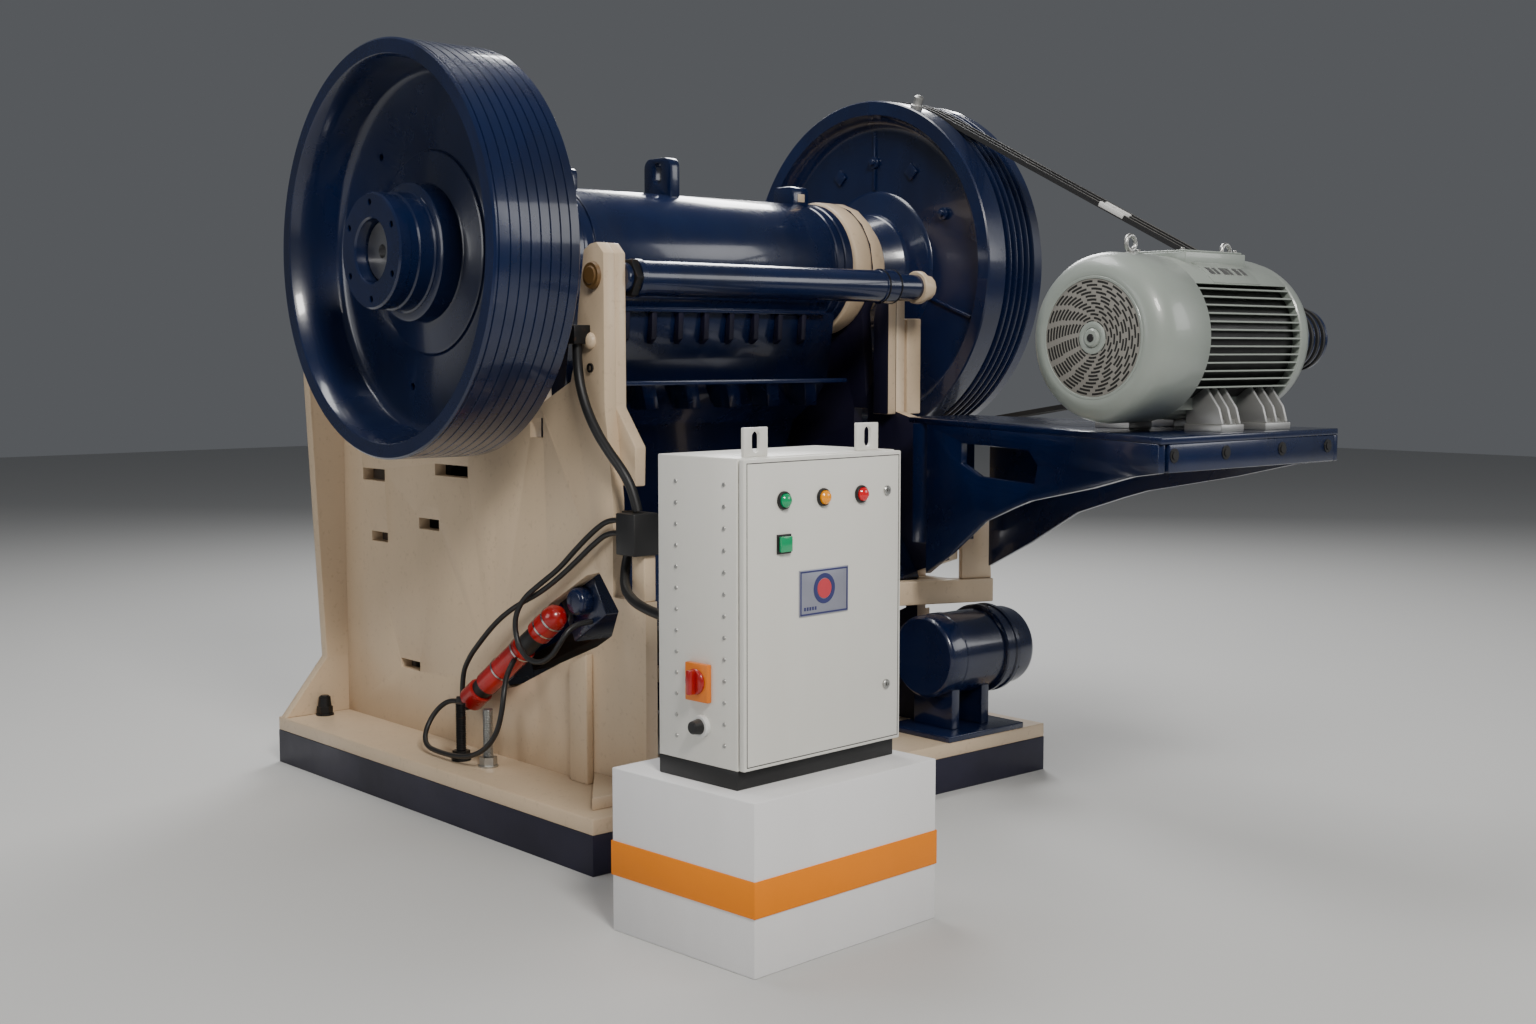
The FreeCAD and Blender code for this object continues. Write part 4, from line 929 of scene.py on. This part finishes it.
# --------------------------------------------------------- cylinder and fittings
def make_cylinder():
    top, low = Vector((-790, -310, 700)), Vector((-850, 113, 370))
    d = low - top
    n = d.length
    parts = []
    ball_end = [(-38, 0), (-34, 20), (-16, 38), (8, 44), (96, 45), (99, 40), (99, 0)]
    lathe(parts, ball_end, top, d, 64)
    lathe(parts, [(190, 0), (190, 40), (193, 43), (n - 110, 43), (n - 108, 40), (n - 108, 0)],
          top, d, 64)
    lathe(parts, [(n - 70, 0), (n - 70, 41), (n - 66, 45), (n - 4, 45), (n, 40), (n, 0)],
          top, d, 64)
    piece("cylinder_look", parts, FRAME, "Red Enamel", angle=40,
          stands_for=["adjusting_cylinder"])
    parts = []
    lathe(parts, [(97, 0), (97, 36), (192, 36), (192, 0)], top, d, 64)
    lathe(parts, [(n - 109, 0), (n - 109, 36), (n - 69, 36), (n - 69, 0)], top, d, 64)
    piece("cylinder_waist", parts, FRAME, "Satin Black")
    parts = []
    for t in (12, 60, 205, 330):
        lathe(parts, [(t, 43), (t, 46), (t + 7, 46), (t + 7, 43)], top, d, 64)
    piece("cylinder_rings", parts, FRAME, "Rod Chrome")
    refine("cylinder_boss", "Navy Enamel", 3)
    refine("junction_block", "Satin Black", 4)
    refine("cable_fittings", "Oxide Black", 3)


def make_studs():
    """Holding-down studs with nuts: capped at the front corners, long near the cylinder."""
    low = FLANGE_TOP
    for x, y, tall, paint, name in ((897, 1081, 80, "Oxide Black", "studs_look"),
                                    (898, -66, 200, "Zinc", "studs_near"),
                                    (914, 78, 200, "Oxide Black", "studs_mid")):
        parts = []
        turns = (tall - 34) // 6
        thread = [p for i in range(turns) for p in ((6 * i, 15), (6 * i + 3, 18))]
        thread = [(0, 0)] + thread + [(6 * turns, 15), (6 * turns, 0)]
        for s in (-1, 1):
            rod(parts, (s * x, y, low), (s * x, y, low + 6), 34, 40)
            rod(parts, (s * x, y, low + 6), (s * x, y, low + 34), 30, 6)
            lathe(parts, thread, (s * x, y, low + 34), (0, 0, 1), 20)
            if tall < 100:
                rod(parts, (s * x, y, low + 30), (s * x, y, low + 71), 26, 24, 22)
        piece(name, parts, FRAME, paint,
              stands_for=["holding_studs"] if tall < 100 else ())


# --------------------------------------------------------------------- cabinet
def make_door():
    parts = []
    block(parts, (57, DOOR_FACE, 502), (655, 115, 1298))
    piece("door_look", parts, LEAF, "Powder Coat", 4, segments=3,
          stands_for=["cabinet_door"], where=CAB)
    parts = []
    for u0, u1, z0, z1 in ((66, 646, 1286, 1288), (66, 646, 511, 513), (66, 68, 511, 1288),
                           (644, 646, 511, 1288)):
        block(parts, (u0, 94.4, z0), (u1, 95.5, z1))
    piece("door_seam", parts, LEAF, "Satin Black", where=CAB)


def on_door(share_across, share_up):
    """Point on the door face from shares of the cabinet's width and height."""
    return CAB_LEFT + CAB_WIDE * share_across, DOOR_FACE, CAB_LOW + CAB_TALL * share_up


def make_lamps():
    """Three round lamps, a square button and two quarter-turn locks."""
    lamps = (("Green Lens", 0.235), ("Amber Lens", 0.48), ("Red Lens", 0.725))
    for i, (paint, share) in enumerate(lamps):
        parts = []
        lathe(parts, [(3, 0), (3, 18), (13, 18), (18, 14), (21, 8), (21.5, 0)],
              on_door(share, 0.86), (0, -1, 0), 40)
        piece("lens_%d" % i, parts, LEAF, paint, where=CAB)
    u, face, z = on_door(0.235, 0.72)
    parts = []
    block(parts, (u - 20, face - 15, z - 20), (u + 20, face - 5, z + 20))
    piece("button_lens", parts, LEAF, "Green Lens", 2, where=CAB)
    parts = []
    for paint, share in lamps:
        lathe(parts, [(0, 0), (0, 24), (5, 24), (9, 22), (9, 19), (4, 18.5), (4, 0)],
              on_door(share, 0.86), (0, -1, 0), 40)
    block(parts, (u - 25, face - 5, z - 25), (u + 25, face, z + 25))
    piece("lamp_bezels", parts, LEAF, "Satin Black", 0.8, where=CAB,
          stands_for=["door_lamps"])
    parts = []
    for share in (0.865, 0.2):
        u, face, z = on_door(0.9, share)
        lathe(parts, [(0, 0), (0, 13), (4, 13), (6, 11), (6, 6), (2, 5), (2, 0)], (u, face, z),
              (0, -1, 0), 32)
        block(parts, (u - 1.5, face - 7, z - 6), (u + 1.5, face - 1, z + 6))
    piece("locks_look", parts, LEAF, "Zinc", where=CAB,
          stands_for=["door_locks"])


def make_badge():
    """Bare badge: border, field, a plain ring with its dot and a row of plain marks."""
    u, face, z = on_door(0.485, 0.55)
    parts = []
    block(parts, (u - 93, face - 3, z - 61), (u + 93, face, z + 61))
    piece("badge_look", parts, LEAF, "Badge Metal", 1, where=CAB,
          stands_for=["badge_plate"])
    near, far = face - 3.8, face - 2
    parts = []
    for s in (-1, 1):
        block(parts, (u - 90, near, z + s * 56 - 2), (u + 90, far, z + s * 56 + 2))
        block(parts, (u + s * 88 - 2, near, z - 58), (u + s * 88 + 2, far, z + 58))
    lathe(parts, [(0, 28), (0, 40), (1.2, 40), (1.2, 28)], (u, face - 3, z + 8), (0, -1, 0), 48)
    for i in range(5):
        start = u - 76 + i * 10
        block(parts, (start, near, z - 46), (start + 6, far, z - 37))
    piece("badge_ink", parts, LEAF, "Badge Ink", where=CAB)
    parts = []
    lathe(parts, [(0, 0), (0, 26), (1.4, 26), (1.4, 0)], (u, face - 3, z + 8), (0, -1, 0), 48)
    piece("badge_dot", parts, LEAF, "Badge Red", where=CAB)


def make_side_controls():
    """Plugs down the cabinet's side, the rotary switch and the knob."""
    parts = []
    for v in (167, 350):
        for i in range(13):
            z = 560 + i * 56
            rod(parts, (CAB_LEFT, v, z), (CAB_LEFT - 2.5, v, z), 6, 20, 5)
    piece("side_plugs", parts, FRAME, "Zinc", where=CAB)
    parts = []
    block(parts, (40, 215, 665), (CAB_LEFT, 300, 765))
    piece("switch_plate", parts, FRAME, "Switch Orange", 3, where=CAB)
    parts = []
    lathe(parts, [(0, 0), (0, 34), (8, 34), (10, 30), (10, 0)], (40, 257, 718), (-1, 0, 0), 40)
    block(parts, (11, 249, 686), (31, 265, 750))
    piece("switch_handle", parts, FRAME, "Red Enamel", 3, where=CAB,
          stands_for=["side_switch"])
    knob = (CAB_LEFT, 250, 600)
    parts = []
    lathe(parts, [(0, 0), (0, 30), (10, 30), (13, 27), (13, 0)], knob, (-1, 0, 0), 48)
    piece("knob_ring", parts, FRAME, "Knob White", where=CAB)
    parts = []
    lathe(parts, [(12, 0), (12, 21), (36, 17), (40, 13), (40, 0)], knob, (-1, 0, 0), 48)
    piece("knob_black", parts, FRAME, "Satin Black", where=CAB,
          stands_for=["side_knob"])


def make_ears():
    parts, cuts = [], []
    top = CAB_LOW + CAB_TALL
    for u in (CAB_LEFT + 87.5, CAB_LEFT + CAB_WIDE - 87.5):
        block(parts, (u - 42.5, 140, top), (u + 42.5, 152, top + 75))
        prism(cuts, "xz", upright_oval(u, top + 38, 14, 13), 130, 160)
    piece("ears_look", parts, FRAME, "Powder Coat", 2, where=CAB,
          stands_for=["cabinet_ears"], cuts=cuts)


def make_cabinet():
    refine("pedestal", "Plinth White", 3)
    refine("pedestal_band", "Orange Band", 1)
    refine("cabinet_box", "Powder Coat", 3)
    refine("cabinet_plinth", "Satin Black", 3)
    make_door()
    make_lamps()
    make_badge()
    make_side_controls()
    make_ears()


def make_cords():
    for name in CORDS:
        cord_piece(name)


# ----------------------------------------------------------------------- stage
def light(name, where, aim, size, power, tint=(1, 1, 1)):
    data = bpy.data.lights.new(name, "AREA")
    data.shape, data.size, data.size_y, data.energy, data.color = "RECTANGLE", *size, power, tint
    obj = bpy.data.objects.new(name, data)
    bpy.context.scene.collection.objects.link(obj)
    turn = (Vector(where) - Vector(aim)).to_track_quat("Z", "Y")
    obj.matrix_world = Matrix.Translation(where) @ turn.to_matrix().to_4x4()


def make_stage():
    bpy.ops.mesh.primitive_plane_add(size=44)
    floor = bpy.context.object
    floor.name = floor.data.name = "Floor"
    floor.select_set(False)
    m = bpy.data.materials.new("Floor")
    m.use_nodes = True
    skin = m.node_tree.nodes["Principled BSDF"]
    skin.inputs["Base Color"].default_value = (0.55, 0.55, 0.54, 1)
    skin.inputs["Roughness"].default_value = 0.8
    floor.data.materials.append(m)
    light("Key", (-3.4, -7.2, 6.2), (-0.4, -0.4, 1.0), (1.8, 1.8), 560, (1.0, 0.97, 0.92))
    light("Side", (-7.5, 0.5, 3.2), (-0.8, 0, 1.2), (3.0, 3.0), 95)
    light("Fill", (5.5, -7.0, 4.0), (0.6, -0.8, 1.0), (4.0, 3.0), 150)
    light("Back", (5.0, 4.5, 6.0), (0, 0, 1.4), (3.0, 3.0), 420)
    light("Top", (-0.6, 1.2, 7.0), (0, 0, 1.6), (4.0, 2.0), 260)
    world = bpy.data.worlds.new("Studio")
    world.use_nodes = True
    world.node_tree.nodes["Background"].inputs[0].default_value = (0.62, 0.65, 0.70, 1)
    world.node_tree.nodes["Background"].inputs[1].default_value = 0.16
    bpy.context.scene.world = world


# ------------------------------------------------------------------- operators
class CRUSHER_OT_view(bpy.types.Operator):
    """Camera that frames the whole plant"""
    bl_idname = "crusher.view"
    bl_label = "View"

    def execute(self, context):
        camera()
        return {"FINISHED"}


class CRUSHER_OT_finishes(bpy.types.Operator):
    """All procedural materials"""
    bl_idname = "crusher.finishes"
    bl_label = "Finishes"

    def execute(self, context):
        materials()
        return {"FINISHED"}


class CRUSHER_OT_cords(bpy.types.Operator):
    """Cables and hoses"""
    bl_idname = "crusher.cords"
    bl_label = "Cords"

    def execute(self, context):
        make_cords()
        return {"FINISHED"}


class CRUSHER_OT_plates(bpy.types.Operator):
    """Skid, side plates, jaws and bearings"""
    bl_idname = "crusher.plates"
    bl_label = "Frame plates"

    def execute(self, context):
        make_frame_plates()
        return {"FINISHED"}


class CRUSHER_OT_barrel(bpy.types.Operator):
    """Swing jaw with its cover and bolts"""
    bl_idname = "crusher.barrel"
    bl_label = "Barrel"

    def execute(self, context):
        make_barrel()
        return {"FINISHED"}


class CRUSHER_OT_flywheels(bpy.types.Operator):
    """Flywheels, hubs and shaft"""
    bl_idname = "crusher.flywheels"
    bl_label = "Flywheels"

    def execute(self, context):
        make_flywheels()
        return {"FINISHED"}


class CRUSHER_OT_tube(bpy.types.Operator):
    """Tie tube between the posts"""
    bl_idname = "crusher.tube"
    bl_label = "Tie tube"

    def execute(self, context):
        make_tube()
        return {"FINISHED"}


class CRUSHER_OT_table(bpy.types.Operator):
    """Table, webs and edges"""
    bl_idname = "crusher.table"
    bl_label = "Motor table"

    def execute(self, context):
        make_table()
        return {"FINISHED"}


class CRUSHER_OT_motor(bpy.types.Operator):
    """Drive motor and its pulley"""
    bl_idname = "crusher.motor"
    bl_label = "Motor"

    def execute(self, context):
        make_motor()
        return {"FINISHED"}


class CRUSHER_OT_belts(bpy.types.Operator):
    """Belt strands and their tag"""
    bl_idname = "crusher.belts"
    bl_label = "Belts"

    def execute(self, context):
        make_belts()
        return {"FINISHED"}


class CRUSHER_OT_pump(bpy.types.Operator):
    """Pump motor on its base"""
    bl_idname = "crusher.pump"
    bl_label = "Pump drive"

    def execute(self, context):
        make_pump()
        return {"FINISHED"}


class CRUSHER_OT_cylinder(bpy.types.Operator):
    """Cylinder, boss and junction parts"""
    bl_idname = "crusher.cylinder"
    bl_label = "Adjusting cylinder"

    def execute(self, context):
        make_cylinder()
        return {"FINISHED"}


class CRUSHER_OT_studs(bpy.types.Operator):
    """Holding-down studs and nuts"""
    bl_idname = "crusher.studs"
    bl_label = "Studs"

    def execute(self, context):
        make_studs()
        return {"FINISHED"}


class CRUSHER_OT_cabinet(bpy.types.Operator):
    """Control cabinet on its plinth"""
    bl_idname = "crusher.cabinet"
    bl_label = "Cabinet"

    def execute(self, context):
        make_cabinet()
        return {"FINISHED"}


class CRUSHER_OT_stage(bpy.types.Operator):
    """Floor and studio light"""
    bl_idname = "crusher.stage"
    bl_label = "Stage"

    def execute(self, context):
        make_stage()
        return {"FINISHED"}


OPERATORS = (
    CRUSHER_OT_view, CRUSHER_OT_finishes, CRUSHER_OT_cords, CRUSHER_OT_plates,
    CRUSHER_OT_barrel, CRUSHER_OT_flywheels, CRUSHER_OT_tube, CRUSHER_OT_table,
    CRUSHER_OT_motor, CRUSHER_OT_belts, CRUSHER_OT_pump, CRUSHER_OT_cylinder,
    CRUSHER_OT_studs, CRUSHER_OT_cabinet, CRUSHER_OT_stage)


class CRUSHER_PT_pieces(bpy.types.Panel):
    """Lists the crusher's pieces and its colours"""
    bl_label = "Jaw Crusher"
    bl_space_type = "VIEW_3D"
    bl_region_type = "UI"
    bl_category = "Crusher"

    def draw(self, context):
        for name in CrusherLook.__annotations__:
            self.layout.prop(context.scene.crusher_look, name)
        for kind in OPERATORS:
            self.layout.operator(kind.bl_idname)


def register():
    for kind in [CrusherLook, *OPERATORS, CRUSHER_PT_pieces]:
        bpy.utils.register_class(kind)
    bpy.types.Scene.crusher_look = bpy.props.PointerProperty(type=CrusherLook)


def unregister():
    del bpy.types.Scene.crusher_look
    for kind in reversed([CrusherLook, *OPERATORS, CRUSHER_PT_pieces]):
        bpy.utils.unregister_class(kind)


def main():
    register()
    for kind in OPERATORS:
        getattr(bpy.ops.crusher, kind.bl_idname.split(".")[1])()


if __name__ == "__main__":
    main()
